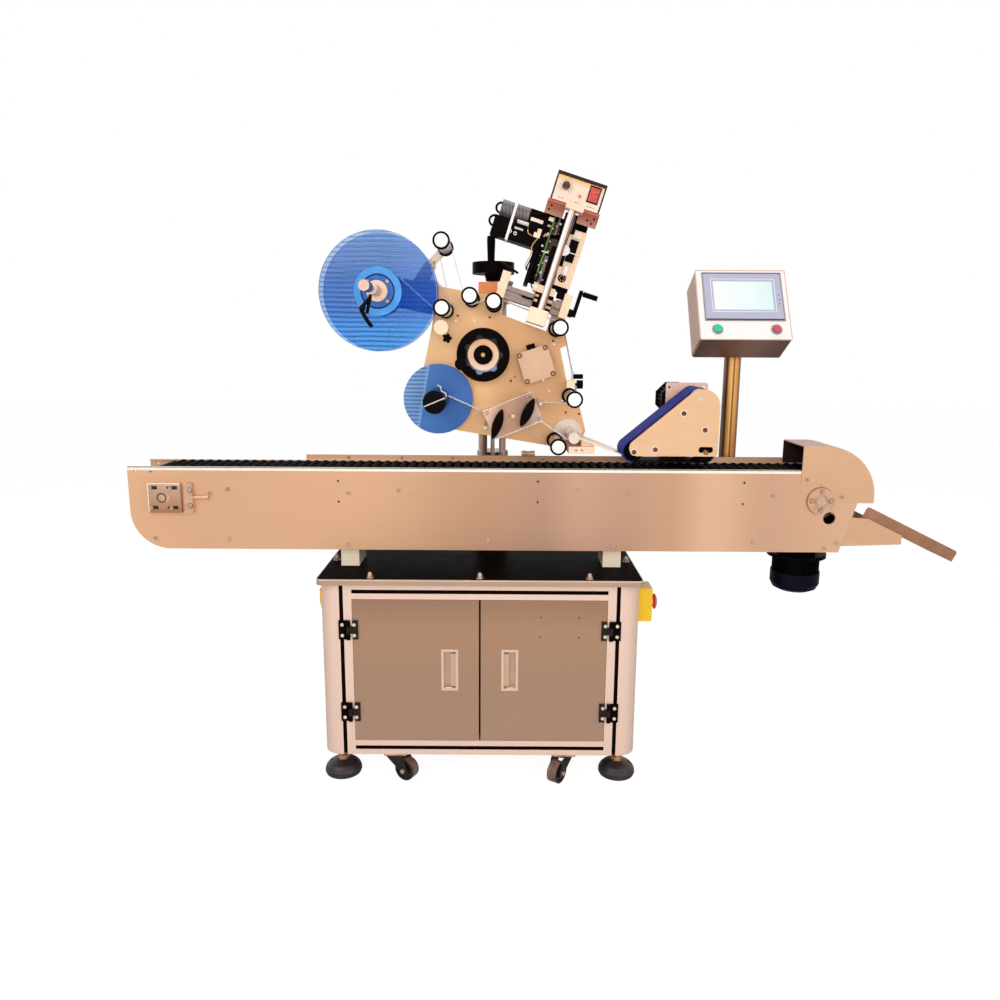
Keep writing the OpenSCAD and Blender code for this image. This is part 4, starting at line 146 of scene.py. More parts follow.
floor_mesh.materials.append(floor_white)
floor = bpy.data.objects.new("floor", floor_mesh)
scene.collection.objects.link(floor)

# Directions, the coder's two tilted axes, and the way across the stripes' edge on the rewinding reel.
RIGHT, BACK, FRONT, UP = (1, 0, 0), (0, 1, 0), (0, -1, 0), (0, 0, 1)
CODER_TILT = math.radians(17.3)
U_AXIS = Vector((math.cos(CODER_TILT), 0, -math.sin(CODER_TILT)))
W_AXIS = Vector((math.sin(CODER_TILT), 0, math.cos(CODER_TILT)))
REEL_EDGE = (0.985, 0.0, -0.17)


def linear(rgb, factor=1.0):
    """An sRGB colour, 0 to 255 and times factor, as the linear colour that the shaders take."""
    out = []
    for c in rgb:
        c = min(255, max(0, c * factor)) / 255
        out.append(c / 12.92 if c <= 0.04045 else ((c + 0.055) / 1.055) ** 2.4)
    return (*out, 1.0)


def grey(value):
    return (value, value, value, 1)


def ramp(tree, source, stops, interpolation="LINEAR"):
    made = node(tree, "ValToRGB", {"Fac": source})
    made.color_ramp.interpolation = interpolation
    els = made.color_ramp.elements
    while len(els) > 1:
        els.remove(els[-1])
    els[0].position, els[0].color = stops[0]
    for place, colour in stops[1:]:
        els.new(place).color = colour
    return made.outputs[0]


def along(tree, place, way, span, ends=(0.0, 1.0)):
    """How far a point lies along way: ends[0] at span[0] mm, ends[1] at span[1] mm, straight between them."""
    dot = node(tree, "VectorMath", {0: place, 1: tuple(way)}, operation="DOT_PRODUCT")
    return node(tree, "MapRange", {"Value": dot.outputs["Value"], "From Min": span[0] * MM,
        "From Max": span[1] * MM, "To Min": ends[0], "To Max": ends[1]}).outputs[0]


def times(tree, share, a, b):
    """Colour a times colour b, to the given share."""
    mix = node(tree, "Mix", {"Factor": share, 6: a, 7: b}, data_type="RGBA", blend_type="MULTIPLY")
    return mix.outputs[2]


NOISE = {"Scale": 1.0, "Detail": 4.0, "Roughness": 0.6}
NOISE_SPAN = (0.3, 0.7)
GLOSS_VARY = 0.06
LEAST_ROUGH = 0.02
COAT_ROUGH = 0.08
BUMP_DEPTH = 0.0004
WAVE_SCALE = 0.314
WAVE_DETAIL = {"Detail": 2.0, "Detail Scale": 0.4}
# Dull black pieces reflect little, even at a low angle.
DULL_SPEC = 0.2
DULL_IOR = 1.18
GRAIN_DETAIL = 2.0


def material(name, colour, rough, metal, vary, scale, stretch=(1, 1, 1), bump=0.0, fine=0, coat=0.0,
        axis=None, span=None, alpha=None, spec=0.5, wave=None, glass=None):
    """A procedural finish. Its colour varies by a noise, and is one (r, g, b) or, with an axis, a run of
    (place, r, g, b) over span mm. wave adds stripes, and glass lets a share of the light through."""
    made, tree = new_tree(name)
    low, high = NOISE_SPAN
    place = node(tree, "TexCoord").outputs["Object"]
    spread = node(tree, "Mapping", {"Vector": place, "Scale": tuple(scale * s for s in stretch)})
    noise = node(tree, "TexNoise", {"Vector": spread.outputs[0], **NOISE}).outputs["Fac"]
    if axis:
        run = ramp(tree, along(tree, place, axis, span), [(a, linear(c)) for a, *c in colour], "EASE")
        base = times(tree, 1.0, run, ramp(tree, noise, [(low, grey(1 - 2 * vary)), (high, WHITE)]))
    else:
        base = ramp(tree, noise, [(low, linear(colour, 1 - vary)), (high, linear(colour, 1 + vary))])
    share = 1.0
    if wave:
        bands = node(tree, "TexWave", {"Vector": place, "Scale": WAVE_SCALE / (wave["pitch"] * MM),
            "Distortion": wave["bend"], **WAVE_DETAIL}, bands_direction=wave["way"])
        lines = ramp(tree, bands.outputs["Fac"], [(0.0, grey(wave["dark"])), (wave["edge"], WHITE)])
        if "limit" in wave:
            way, *where = wave["limit"]
            share = along(tree, place, way, where, (1.0, wave.get("rest", 0.0)))
        base = times(tree, share, base, lines)
    gloss = node(tree, "MapRange", {"Value": noise, "From Min": low, "From Max": high,
        "To Min": max(LEAST_ROUGH, rough - GLOSS_VARY), "To Max": min(1.0, rough + GLOSS_VARY)})
    values = {"Base Color": base, "Roughness": gloss.outputs[0], "Metallic": metal, "Specular IOR Level": spec}
    if spec <= DULL_SPEC:
        values["IOR"] = DULL_IOR
    if coat:
        values.update({"Coat Weight": coat, "Coat Roughness": COAT_ROUGH})
    if alpha:
        values["Alpha"] = alpha
    if bump:
        grain = node(tree, "TexNoise", {"Vector": place, "Scale": fine, "Detail": GRAIN_DETAIL})
        rise = {"Strength": bump, "Distance": BUMP_DEPTH, "Height": grain.outputs["Fac"]}
        values["Normal"] = node(tree, "Bump", rise).outputs[0]
    skin = node(tree, "BsdfPrincipled", values).outputs[0]
    if glass:
        clear, tint = glass
        hue = times(tree, share, linear(tint), lines) if wave else linear(tint)
        see = node(tree, "BsdfTransparent", {"Color": hue})
        skin = node(tree, "MixShader", {"Fac": clear, 1: skin, 2: see.outputs[0]}).outputs[0]
    node(tree, "OutputMaterial", {"Surface": skin})
    return made


# Finishes by material slot: name, colour (0 to 255) or run of (place, colour), roughness, metal share,
# change of the colour by noise, scale of the noise, and extras.
FINISHES = {
    "sand_panel": [
        # The side panels' runs of lighter and darker colour along X are painted sheen.
        ("panel_sand", [(0, 236, 184, 144), (0.12, 226, 178, 140), (0.3, 228, 178, 140), (0.5, 196, 150, 119),
            (0.56, 188, 147, 121), (0.62, 206, 161, 134), (0.68, 200, 156, 129), (0.74, 208, 162, 131),
            (0.8, 230, 186, 152), (0.87, 214, 168, 138), (1, 226, 182, 148)], 0.42, 0.25, 0.015, 26,
            dict(stretch=(0.1, 1, 4), bump=0.05, fine=900, axis=RIGHT, span=(-960, 1030))),
        # Near-white painted highlight, for the panels' bent top edges and the take-up block's top and left
        # edges.
        ("panel_bright", (255, 244, 230), 0.3, 0, 0.02, 20),
        # Brown of the rear guide rail, also used for painted shade rings on the drive flange.
        ("guide_rail", (168, 98, 56), 0.42, 0.2, 0.12, 14, dict(stretch=(0.3, 1, 1)))],
    "hood_sheet": [
        ("sheet_sand", (222, 176, 139), 0.4, 0.2, 0.01, 16, dict(bump=0.03, fine=900)),
        # Dark brown painted shade, for inner faces in shadow and for the take-up block's slots, ring and rims.
        ("hood_inside", (40, 24, 16), 0.6, 0.1, 0.2, 30),
        ("hood_skin", (200, 160, 140), 0.45, 0.3, 0.03, 14)],
    "chute_sheet": [
        ("chute_metal", (166, 118, 90), 0.42, 0.3, 0.06, 18, dict(bump=0.05, fine=900))],
    "door_brown": [
        # Doors and panels darken slightly towards the top, as painted shade.
        ("door_brown", [(0, 180, 146, 124), (0.45, 176, 142, 117), (0.75, 180, 140, 112), (1, 164, 126, 100)],
            0.36, 0.35, 0.012, 60, dict(stretch=(0.05, 1, 6), bump=0.03, fine=1100, axis=UP,
                span=(118, 523))),
        # The pulls' brighter top and bottom ends are painted highlights.
        ("pull_steel", [(0, 250, 232, 214), (0.08, 214, 180, 152), (0.9, 206, 172, 146), (1, 240, 220, 202)],
            0.3, 0.3, 0.01, 20, dict(axis=UP, span=(266, 384))),
        ("pull_lip", (226, 196, 178), 0.3, 0.2, 0.01, 20),
        ("hinge_black", (20, 15, 14), 0.36, 0, 0.2, 50, dict(bump=0.06, fine=1200, spec=0.3))],
    "profile_metal": [
        ("profile", (240, 208, 190), 0.42, 0.15, 0.01, 40, dict(stretch=(5, 5, 0.1), bump=0.02, fine=1400)),
        ("slot_black", (24, 10, 6), 0.7, 0, 0.15, 30, dict(spec=0.1))],
    "plate_black": [
        ("plate_top", (12, 6, 5), 0.45, 0, 0.25, 14, dict(bump=0.03, fine=500, spec=0.035)),
        ("plate_side", (190, 156, 132), 0.35, 0.3, 0.04, 30, dict(stretch=(0.2, 1, 3))),
        # Painted highlight line for the table plate's upper edge.
        ("plate_line", (255, 244, 232), 0.3, 0.1, 0.02, 30)],
    "knob_black": [
        ("black_gloss", (9, 5, 5), 0.2, 0, 0.2, 40, dict(coat=0.1, spec=0.2))],
    "wheel_black": [
        ("black_satin", (12, 7, 7), 0.36, 0, 0.2, 50, dict(bump=0.06, fine=1200, spec=0.14)),
        ("tan_ring", [(0, 252, 214, 184), (0.5, 246, 204, 166), (1, 226, 170, 120)], 0.4, 0, 0.03, 30,
            dict(axis=UP, span=(1118, 1206))),
        # Painted blue sheen, bright low on the ring and fading to near black upwards.
        ("blue_steel", [(0, 60, 76, 110), (0.1, 158, 186, 232), (0.24, 142, 158, 196), (0.36, 50, 44, 48),
            (1, 14, 10, 10)], 0.3, 0.2, 0.3, 34, dict(axis=UP, span=(1090, 1236)))],
    "foot_black": [
        ("foot_rubber", (44, 34, 35), 0.4, 0, 0.25, 45, dict(bump=0.12, fine=900))],
    "caster_black": [
        ("caster_black", (24, 17, 16), 0.36, 0, 0.2, 45, dict(bump=0.1, fine=900, spec=0.35)),
        ("caster_tread", (110, 84, 72), 0.4, 0, 0.3, 60, dict(bump=0.12, fine=900))],
    "chain_black": [
        ("chain_black", (9, 5, 4), 0.45, 0, 0.25, 60, dict(bump=0.08, fine=1200, spec=0.02))],
    "bearing_metal": [
        ("bright_warm", (220, 178, 146), 0.3, 0.35, 0.06, 50)],
    "tension_metal": [
        # The take-up block is darker towards the bottom and lighter towards the top: painted shade and painted
        # light.
        ("tension_warm", [(0, 176, 124, 90), (0.25, 196, 148, 116), (0.7, 212, 168, 138), (1, 226, 190, 164)],
            0.32, 0.3, 0.03, 40, dict(stretch=(1, 1, 4), axis=UP, span=(736, 818)))],
    "screw_metal": [
        ("screw", (206, 176, 156), 0.26, 0.6, 0.08, 80),
        ("screw_cream", (240, 214, 184), 0.35, 0.15, 0.08, 80),
        ("screw_brown", (112, 62, 34), 0.35, 0.2, 0.15, 80),
        ("zinc", (204, 160, 120), 0.32, 0.5, 0.2, 50)],
    "support_metal": [
        ("support_cream", (255, 234, 208), 0.4, 0, 0.015, 30)],
    "wheel_metal": [
        ("steel_dark", (120, 96, 82), 0.35, 0.6, 0.1, 40)],
    "column_metal": [
        # Bright and dark bands along X on the lift column are painted reflections.
        ("column_steel", [(0, 96, 70, 58), (0.14, 236, 214, 200), (0.26, 150, 118, 100), (0.4, 70, 48, 40),
            (0.52, 214, 190, 176), (0.62, 80, 58, 48), (0.8, 226, 204, 190), (0.9, 140, 108, 92),
            (1, 84, 60, 50)], 0.25, 0.6, 0.03, 40, dict(stretch=(4, 4, 0.2), axis=RIGHT, span=(-26, 83))),
        ("counter_orange", (255, 158, 98), 0.4, 0.6, 0.04, 50)],
    "pole_chrome": [
        # Bright and dark bands along X on the pole are painted reflections.
        ("pole_steel", [(0, 150, 118, 100), (0.14, 74, 48, 36), (0.26, 250, 182, 96), (0.4, 252, 196, 118),
            (0.48, 110, 64, 36), (0.58, 246, 176, 92), (0.72, 230, 160, 92), (0.86, 140, 92, 62),
            (1, 110, 78, 62)], 0.3, 0.25, 0.02, 40, dict(stretch=(4, 4, 0.2), axis=RIGHT, span=(702, 750)))],
    "box_yellow": [
        ("yellow", (255, 200, 12), 0.35, 0, 0.02, 30, dict(coat=0.2))],
    "button_red": [
        ("red", (226, 60, 40), 0.3, 0, 0.05, 50, dict(coat=0.3)),
        ("pink_red", (204, 84, 100), 0.35, 0, 0.05, 50, dict(coat=0.2)),
        ("white_part", (246, 240, 236), 0.35, 0, 0.03, 50),
        ("knob_yellow", (252, 192, 30), 0.35, 0, 0.04, 50)],
    "button_green": [
        ("green", (20, 206, 164), 0.3, 0, 0.05, 50, dict(coat=0.3))],
    "motor_navy": [
        ("navy", (6, 8, 24), 0.36, 0, 0.25, 40, dict(bump=0.06, fine=900, coat=0.1, spec=0.2)),
        ("navy_dark", (6, 4, 6), 0.4, 0, 0.2, 40, dict(spec=0.14))],
    "press_metal": [
        ("press_plate", (236, 190, 148), 0.42, 0.05, 0.015, 24, dict(bump=0.03, fine=900)),
        ("press_pink", (240, 206, 190), 0.4, 0.1, 0.02, 24)],
    "belt_blue": [
        ("belt_blue", (40, 48, 140), 0.5, 0, 0.06, 60, dict(bump=0.15, fine=700, spec=0.14)),
        # Painted shade for the belt's lower run and its down-facing faces.
        ("belt_dark", (10, 8, 18), 0.5, 0, 0.1, 60, dict(spec=0.1))],
    "head_metal": [
        ("head_peach", [(0, 255, 206, 152), (0.35, 255, 204, 150), (0.6, 252, 196, 142),
            (0.85, 242, 188, 138), (1, 242, 188, 140)], 0.55, 0.1, 0.012, 18, dict(bump=0.03, fine=1000,
                axis=RIGHT, span=(-190, 280)))],
    "fitting_metal": [
        ("cream", (248, 214, 184), 0.42, 0, 0.02, 40, dict(bump=0.03, fine=1200)),
        ("cover_cream", (214, 174, 142), 0.4, 0, 0.02, 40),
        ("silver", (222, 214, 210), 0.3, 0.5, 0.02, 60),
        # The nip plate is lighter at both ends along X and darker between: painted sheen.
        ("nip_tan", [(0, 226, 190, 168), (0.35, 186, 144, 120), (0.7, 164, 126, 106), (1, 206, 178, 168)],
            0.34, 0.3, 0.015, 30, dict(bump=0.04, fine=900, axis=RIGHT, span=(10, 160))),
        ("rail_steel", (150, 130, 122), 0.35, 0.4, 0.02, 30, dict(bump=0.02, fine=900)),
        ("brass", (216, 166, 92), 0.25, 0.6, 0.08, 60),
        ("brass_dark", (150, 104, 66), 0.3, 0.4, 0.1, 60),
        ("barrel_navy", (40, 52, 104), 0.22, 0.3, 0.2, 40),
        ("barrel_end", (236, 190, 166), 0.35, 0, 0.03, 40)],
    "arm_cream": [
        ("cream_pale", (250, 228, 208), 0.4, 0, 0.03, 40)],
    "peel_metal": [
        ("peel_metal", (240, 222, 206), 0.3, 0.4, 0.012, 50)],
    "disc_blue": [
        # The discs' wave stripes are painted reflections.
        ("disc_blue", [(0, 14, 166, 255), (0.2, 20, 156, 255), (0.34, 40, 106, 224), (0.55, 62, 108, 218),
            (0.8, 134, 158, 232), (1, 150, 180, 242)], 0.3, 0, 0.1, 4, dict(stretch=(0.6, 1, 3), spec=0.2,
                axis=UP, span=(1172, 1488), wave=dict(way="Z", pitch=13, bend=2.4, dark=0.76, edge=0.5,
                    limit=(RIGHT, -260, -180), rest=0.5), glass=(0.75, (226, 242, 255)))),
        ("disc_rim", (150, 156, 206), 0.3, 0, 0.1, 30),
        ("roll_blue", (88, 164, 238), 0.45, 0, 0.05, 40, dict(spec=0.2)),
        ("ring_navy", (24, 34, 84), 0.35, 0, 0.1, 40, dict(spec=0.3)),
        ("hub_blue", (54, 106, 190), 0.4, 0, 0.12, 40, dict(spec=0.3))],
    "reel_blue": [
        ("reel_blue", [(0, 128, 172, 226), (0.36, 116, 160, 220), (0.42, 130, 178, 226), (0.46, 68, 118, 186),
            (1, 60, 108, 182)], 0.34, 0, 0.04, 12, dict(spec=0.3, axis=REEL_EDGE, span=(-400, -260),
                wave=dict(way="Z", pitch=11, bend=0.8, dark=0.36, edge=0.55,
                    limit=(REEL_EDGE, -346, -338))))],
    "roller_black": [
        ("roller_silver", (222, 212, 204), 0.25, 0.5, 0.05, 40),
        ("roller_ring", (9, 5, 5), 0.3, 0, 0.15, 60, dict(spec=0.18)),
        ("cap_white", (255, 244, 240), 0.35, 0, 0.01, 60),
        ("web_white", (255, 253, 252), 0.35, 0, 0.01, 60, dict(spec=0.2)),
        ("web_faint", (250, 236, 238), 0.35, 0, 0.01, 60, dict(spec=0.1, alpha=0.35))],
    "feed_rubber": [
        ("feed_black", (34, 28, 28), 0.5, 0, 0.15, 60)],
    "box_black": [
        ("box_frame", (38, 20, 18), 0.34, 0, 0.15, 40, dict(spec=0.3)),
        ("box_face", [(0, 252, 228, 206), (0.72, 252, 226, 204), (0.9, 248, 206, 150), (1, 240, 184, 118)],
            0.4, 0, 0.012, 30, dict(axis=W_AXIS, span=(1546, 1610))),
        ("box_top", (120, 84, 76), 0.3, 0.3, 0.03, 30),
        ("bracket_red", [(0, 188, 128, 108), (0.55, 160, 88, 66), (0.8, 150, 70, 52), (0.86, 206, 104, 88),
            (1, 214, 112, 96)], 0.38, 0.1, 0.08, 40, dict(axis=W_AXIS, span=(1508, 1547))),
        ("lamp_red", (236, 120, 96), 0.25, 0, 0.05, 30, dict(coat=0.4)),
        ("mark_dark", (86, 66, 60), 0.5, 0, 0.1, 30)],
    "dial_dark": [
        ("dial_dark", [(0, 140, 100, 100), (0.3, 60, 36, 34), (1, 96, 64, 62)], 0.35, 0, 0.15, 60,
            dict(axis=W_AXIS, span=(1575, 1596)))],
    "rocker_red": [
        ("rocker_red", (206, 76, 66), 0.3, 0, 0.2, 160, dict(coat=0.2))],
    "coder_mixed": [
        ("coder_black", (14, 8, 8), 0.34, 0, 0.3, 60, dict(bump=0.06, fine=1200, spec=0.16)),
        ("coder_grey", (120, 110, 114), 0.32, 0.3, 0.1, 50,
            dict(wave=dict(way="X", pitch=9, bend=0.2, dark=0.5, edge=0.35))),
        ("coder_green", (96, 150, 62), 0.4, 0, 0.1, 30),
        ("tie_white", (246, 244, 240), 0.4, 0, 0.03, 30),
        ("gear_gold", (60, 42, 36), 0.34, 0.3, 0.5, 110, dict(spec=0.3))],
    "coder_cream": [
        ("coder_cream", (250, 222, 192), 0.4, 0, 0.02, 40),
        # Bright and dark bands across the coder's post are painted reflections.
        ("chrome_post", [(0, 226, 210, 202), (0.12, 255, 252, 250), (0.4, 255, 246, 240),
            (0.5, 236, 196, 176), (0.66, 232, 200, 186), (0.78, 112, 84, 82), (0.9, 180, 160, 158),
            (1, 92, 70, 70)], 0.2, 0.3, 0.02, 40, dict(axis=U_AXIS, span=(-240.4, -221.4)))],
    "panel_box": [
        ("hmi_front", (255, 250, 247), 0.36, 0, 0.006, 30),
        ("hmi_side", (178, 134, 110), 0.34, 0.3, 0.02, 30, dict(stretch=(0.2, 1, 3))),
        # Painted shade: the panel box's underside is dark, a little lighter in the middle.
        ("hmi_under", [(0, 84, 54, 42), (0.3, 120, 84, 66), (0.6, 132, 96, 76), (1, 100, 68, 54)], 0.34, 0.3,
            0.015, 20, dict(stretch=(1, 0.3, 0.3), axis=RIGHT, span=(600, 850))),
        ("hmi_edge", (226, 186, 168), 0.35, 0.1, 0.02, 30),
        ("hmi_dark", (62, 48, 58), 0.35, 0, 0.04, 30),
        ("hmi_bezel", (188, 190, 212), 0.4, 0, 0.01, 40),
        ("hmi_outer", (160, 146, 160), 0.36, 0, 0.01, 40),
        # White of the printed line round the screen, also used for painted highlights on the nip plate's edges
        # and in the door pulls.
        ("hmi_line", (255, 255, 255), 0.36, 0, 0.005, 40),
        ("hmi_screen", [(0, 250, 255, 255), (0.5, 240, 255, 255), (1, 228, 250, 252)], 0.2, 0, 0.005, 10,
            dict(coat=0.2, axis=RIGHT, span=(644, 810))),
        # Greyish painted shade round the button.
        ("button_base", (176, 158, 150), 0.35, 0, 0.05, 40)],
    "crank_black": [
        ("crank_black", (12, 7, 7), 0.34, 0, 0.2, 60, dict(spec=0.16))],
}
MAT = {}
for slot, rows in FINISHES.items():
    for key, *looks in rows:
        extra = looks.pop() if isinstance(looks[-1], dict) else {}
        MAT[key] = material(key, *looks, **extra)


def paint(name, base, rules=()):
    """Gives a CAD node its finishes: each face takes the first rule that its centre (mm) and normal meet."""
    me = nodes[name].data
    order = list(dict.fromkeys([base] + [k for k, _ in rules]))
    me.materials.clear()
    for k in order:
        me.materials.append(MAT[k])
    for poly in me.polygons:
        c, n = poly.center / MM, poly.normal
        poly.material_index = order.index(next((k for k, test in rules if test(c, n)), base))


def near(x, z, r):
    """Within r mm of the line along Y through x, z."""
    return lambda c, n: (c.x - x) ** 2 + (c.z - z) ** 2 < r * r


ANY = (-9999, 9999)


def within(x=ANY, y=ANY, z=ANY):
    """Inside an upright box."""
    return lambda c, n: x[0] < c.x < x[1] and y[0] < c.y < y[1] and z[0] < c.z < z[1]


# Frames of the tilted units, as in the CAD source.
CODER_ORIGIN = Vector((47, 0, 1314))


def coder(u, y, w):
    """The point u, w in the coder's tilted plane at depth y."""
    return CODER_ORIGIN + U_AXIS * u + W_AXIS * w + Vector((0, y, 0))


def coder_local(c):
    d = c - CODER_ORIGIN
    return Vector((d.dot(U_AXIS), c.y, d.dot(W_AXIS)))


def in_coder(u=ANY, y=ANY, w=ANY):
    def test(c, n):
        p = coder_local(c)
        return u[0] < p.x < u[1] and y[0] < p.y < y[1] and w[0] < p.z < w[1]
    return test


HMI_LEAN = math.radians(29)
HMI_ORIGIN = Vector((724, -70, 1206))
HMI_BACK = Vector((0, math.cos(HMI_LEAN), -math.sin(HMI_LEAN)))
HMI_UP = Vector((0, math.sin(HMI_LEAN), math.cos(HMI_LEAN)))


def hmi(x, d, h):
    """The point x across, d into and h up the touch panel's leaning face."""
    return HMI_ORIGIN + Vector((x, 0, 0)) + HMI_BACK * d + HMI_UP * h


def in_hmi(x=ANY, d=ANY, h=ANY):
    def test(c, n):
        q = c - HMI_ORIGIN
        a, b = q.dot(HMI_BACK), q.dot(HMI_UP)
        return x[0] < q.x < x[1] and d[0] < a < d[1] and h[0] < b < h[1]
    return test


def in_slot(c, n):
    """The black slots of the cabinet's posts and rails."""
    ax, ay = abs(c.x), abs(c.y)
    if 364 < ax < 375 and 255.5 < ay < 264.9:
        return True
    if 198.5 < ay < 209.5 and 421 < ax < 430.4:
        return True
    if 91.5 < c.z < 102.5 or 538.5 < c.z < 549.5:
        return (255.5 < ay < 264.9 and ax < 342) or (421 < ax < 430.4 and ay < 177)
    return False


FEED_TURN = math.radians(17.8)
NIP_TURN = math.radians(22.2)


def in_turned(cx, cz, turn, hu, hw, y):
    """Inside a block of half sizes hu, hw that is turned about Y at cx, cz."""
    cu, su = math.cos(turn), math.sin(turn)

    def test(c, n):
        dx, dz = c.x - cx, c.z - cz
        u, w = dx * cu + dz * su, -dx * su + dz * cu
        return abs(u) < hu and abs(w) < hw and y[0] < c.y < y[1]
    return test


def hinge_screw(c, n):
    """Screws of the doors' hinge leaves."""
    return (c.y < -269.6 and any(abs(abs(c.x) - x) < 5.5 for x in (335.5, 367.5))
        and any(abs(c.z - z - r) < 5.5 for z in (203, 438) for r in (-15, 15)))


def pull(c, half_x, half_z):
    """Inside an upright block round the centre of either door's pull."""
    return abs(abs(c.x) - 81) < half_x and abs(c.z - 325) < half_z


def hood_inner(c, n):
    """Inner faces of the end hood's bent sheet and of its two side sheets, which take the painted shade."""
    if abs(n.y) > 0.9:
        return -165.2 < c.y < -164 or -12 < c.y < -10.8
    return -160 < c.y < -16 and near(928, 787, 138.4)(c, n) and abs(n.y) < 0.5


PLAIN = {"cabinet_panels": "door_brown", "roller_chain": "chain_black", "switch_boxes": "yellow",
    "press_roller": "silver", "main_switch": "knob_yellow", "tension_block": "tension_warm",
    "lift_handwheel": "black_satin", "lift_carriage": "cream", "head_plate": "head_peach",
    "unwind_discs": "disc_blue", "dial_knob": "dial_dark", "rocker_switch": "rocker_red",
    "start_button": "green", "stop_button": "pink_red"}
for name, key in PLAIN.items():
    paint(name, key)
paint("cabinet_frame", "profile", [("slot_black", in_slot)])
paint("frame_hardware", "black_satin", [("zinc", within(z=(0, 77)))])
for door in ("door_left", "door_right"):
    paint(door, "door_brown", [
        ("screw_cream", hinge_screw),
        ("hinge_black", lambda c, n: abs(c.x) > 324 and (c.y < -265.05 or abs(c.x) > 341)),
        ("pull_lip", lambda c, n: pull(c, 23.6, 59.6) and c.y < -265.2),
        ("pull_steel", lambda c, n: pull(c, 17.5, 53.5)),
    ])
paint("table_plate", "plate_top", [
    ("plate_side", lambda c, n: abs(n.z) < 0.5 and (abs(c.x) > 415 or abs(c.y) > 265))])
paint("fasteners", "screw", [("screw_cream", hinge_screw)])
paint("levelling_feet", "foot_rubber", [("zinc", within(z=(41.2, 200)))])
paint("conveyor_supports", "support_cream", [
    ("steel_dark", lambda c, n: c.z > 680 or abs(abs(c.x) - 364.5) > 26)])
# Painted highlight on both panels' top flange faces, and painted shade on the front panel's inner faces.
paint("side_panel_front", "panel_sand", [
    ("panel_bright", lambda c, n: n.z > 0.9 and c.z > 859),
    ("hood_inside", lambda c, n: c.y > -159.1)])
paint("side_panel_rear", "panel_sand", [
    ("guide_rail", within(y=(-10.9, 0), z=(827, 876))),
    ("panel_bright", lambda c, n: n.z > 0.9 and c.z > 859)])
# Painted shade on the end hood's inner faces.
paint("end_hood", "sheet_sand", [
    ("hood_inside", hood_inner),
    ("hood_skin", lambda c, n: -165 < c.y < -11)])
paint("gear_motor", "navy_dark", [
    ("navy", within(z=(490, 562.5))),
    ("bright_warm", lambda c, n: 639 < c.z < 647)])
paint("chute", "chute_metal", [("sheet_sand", lambda c, n: c.y < -155 or c.y > -20)])
paint("bearings", "bright_warm", [("screw", lambda c, n: c.y < -177.7)])
paint("lift_column", "column_steel", [
    ("counter_orange", lambda c, n: c.z > 1334.5 and math.hypot(c.x - 28.5, c.y - 112) > 7),
    ("cream_pale", lambda c, n: c.z < 862 or 1305 < c.z < 1334.6)])
paint("hmi_pole", "pole_steel", [
    ("black_satin", lambda c, n: c.z < 822 and (math.hypot(c.x - 726, c.y - 60) > 25 or abs(n.z) > 0.9))])
paint("press_frame", "press_plate", [
    ("black_satin", lambda c, n: c.y > 20.2 or (c.y > 19.9 and near(564, 1036, 52)(c, n))),
    ("press_pink", lambda c, n: c.y > 13.5),
    ("screw_brown", lambda c, n: c.y < -150.2),
    ("navy_dark", lambda c, n: -143.9 < c.y < -32.1)])
# Painted shade on the belt's lower run and down-facing faces.
paint("press_belt", "belt_blue", [("belt_dark", lambda c, n: c.z < 884 and c.x > 420 or n.z < -0.7)])
CASTERS = {"caster_1": (-234, -242, -28), "caster_2": (234, -242, 235), "caster_3": (234, 242, 20),
    "caster_4": (-234, 242, 150)}
CASTER_TRAIL = 36
WHEEL_Z = 32


def caster_rules(x, y, turn):
    """Axle ends and tread of a caster that stands turned about its stem at x, y."""
    ca, sa = math.cos(math.radians(turn)), math.sin(math.radians(turn))

    def across(c):
        return abs((c.y - y) * ca - (c.x - x) * sa)

    def radius(c):
        return math.hypot((c.x - x) * ca + (c.y - y) * sa - CASTER_TRAIL, c.z - WHEEL_Z)
    return [("screw", lambda c, n: across(c) > 19.1 and radius(c) < 8),
        ("caster_tread", lambda c, n: across(c) < 14.1 and radius(c) > 29.3)]


for name, place in CASTERS.items():
    paint(name, "caster_black", caster_rules(*place))
paint("estop_button", "red", [("white_part", within(x=(0, 481.4)))])
for name in ("idler_shaft", "drive_shaft"):
    paint(name, "steel_dark", [("bright_warm", lambda c, n: c.y < -160 or c.y > -16)])
paint("head_fittings", "silver", [
    ("barrel_end", lambda c, n: c.x < -260 and c.y < -299 and n.y < -0.9),
    ("barrel_navy", lambda c, n: c.x < -260 and c.y < -239),
    ("silver", lambda c, n: c.x < -260 and c.y < -15),
    ("cover_cream", in_turned(150, 1136, FEED_TURN, 44.5, 44.5, (-63, -55.9))),
    ("coder_black", in_turned(150, 1136, FEED_TURN, 46, 62, (-56.2, 10.5))),
    ("brass", lambda c, n: near(85, 1003, 10.4)(c, n) and c.y < -164.8),
    ("nip_tan", in_turned(85, 1003, NIP_TURN, 71, 41.5, (-170, -152.8))),
    ("cream", lambda c, n: near(-108, 1234, 19.5)(c, n) and c.y < -103.8),
    ("black_satin", lambda c, n: near(-94, 1206, 14.5)(c, n) and c.y < -75.5),
    ("cream_pale", within(x=(-340, -96), y=(4, 40), z=(1262, 1430))),
    ("black_satin", lambda c, n: c.x > 250.5 and 1070 < c.z < 1120 and c.y < -100),
    ("cream", within(x=(226, 251), y=(-151, -119), z=(1070, 1098))),
    ("rail_steel", in_coder((12.5, 151.5), (-113, 30), (-80, 75))),
    ("cream", in_coder((-12, 12), (-113, 30), (-80, 75))),
    ("cream", in_coder((152, 188), (-113, 30), (-80, 75))),
])
paint("peel_plate", "peel_metal", [
    ("cream", within(x=(235.5, 306.5), y=(-166, 8), z=(901, 921.5))),
    ("cream", within(x=(271.5, 304.5), z=(918, 942)))])
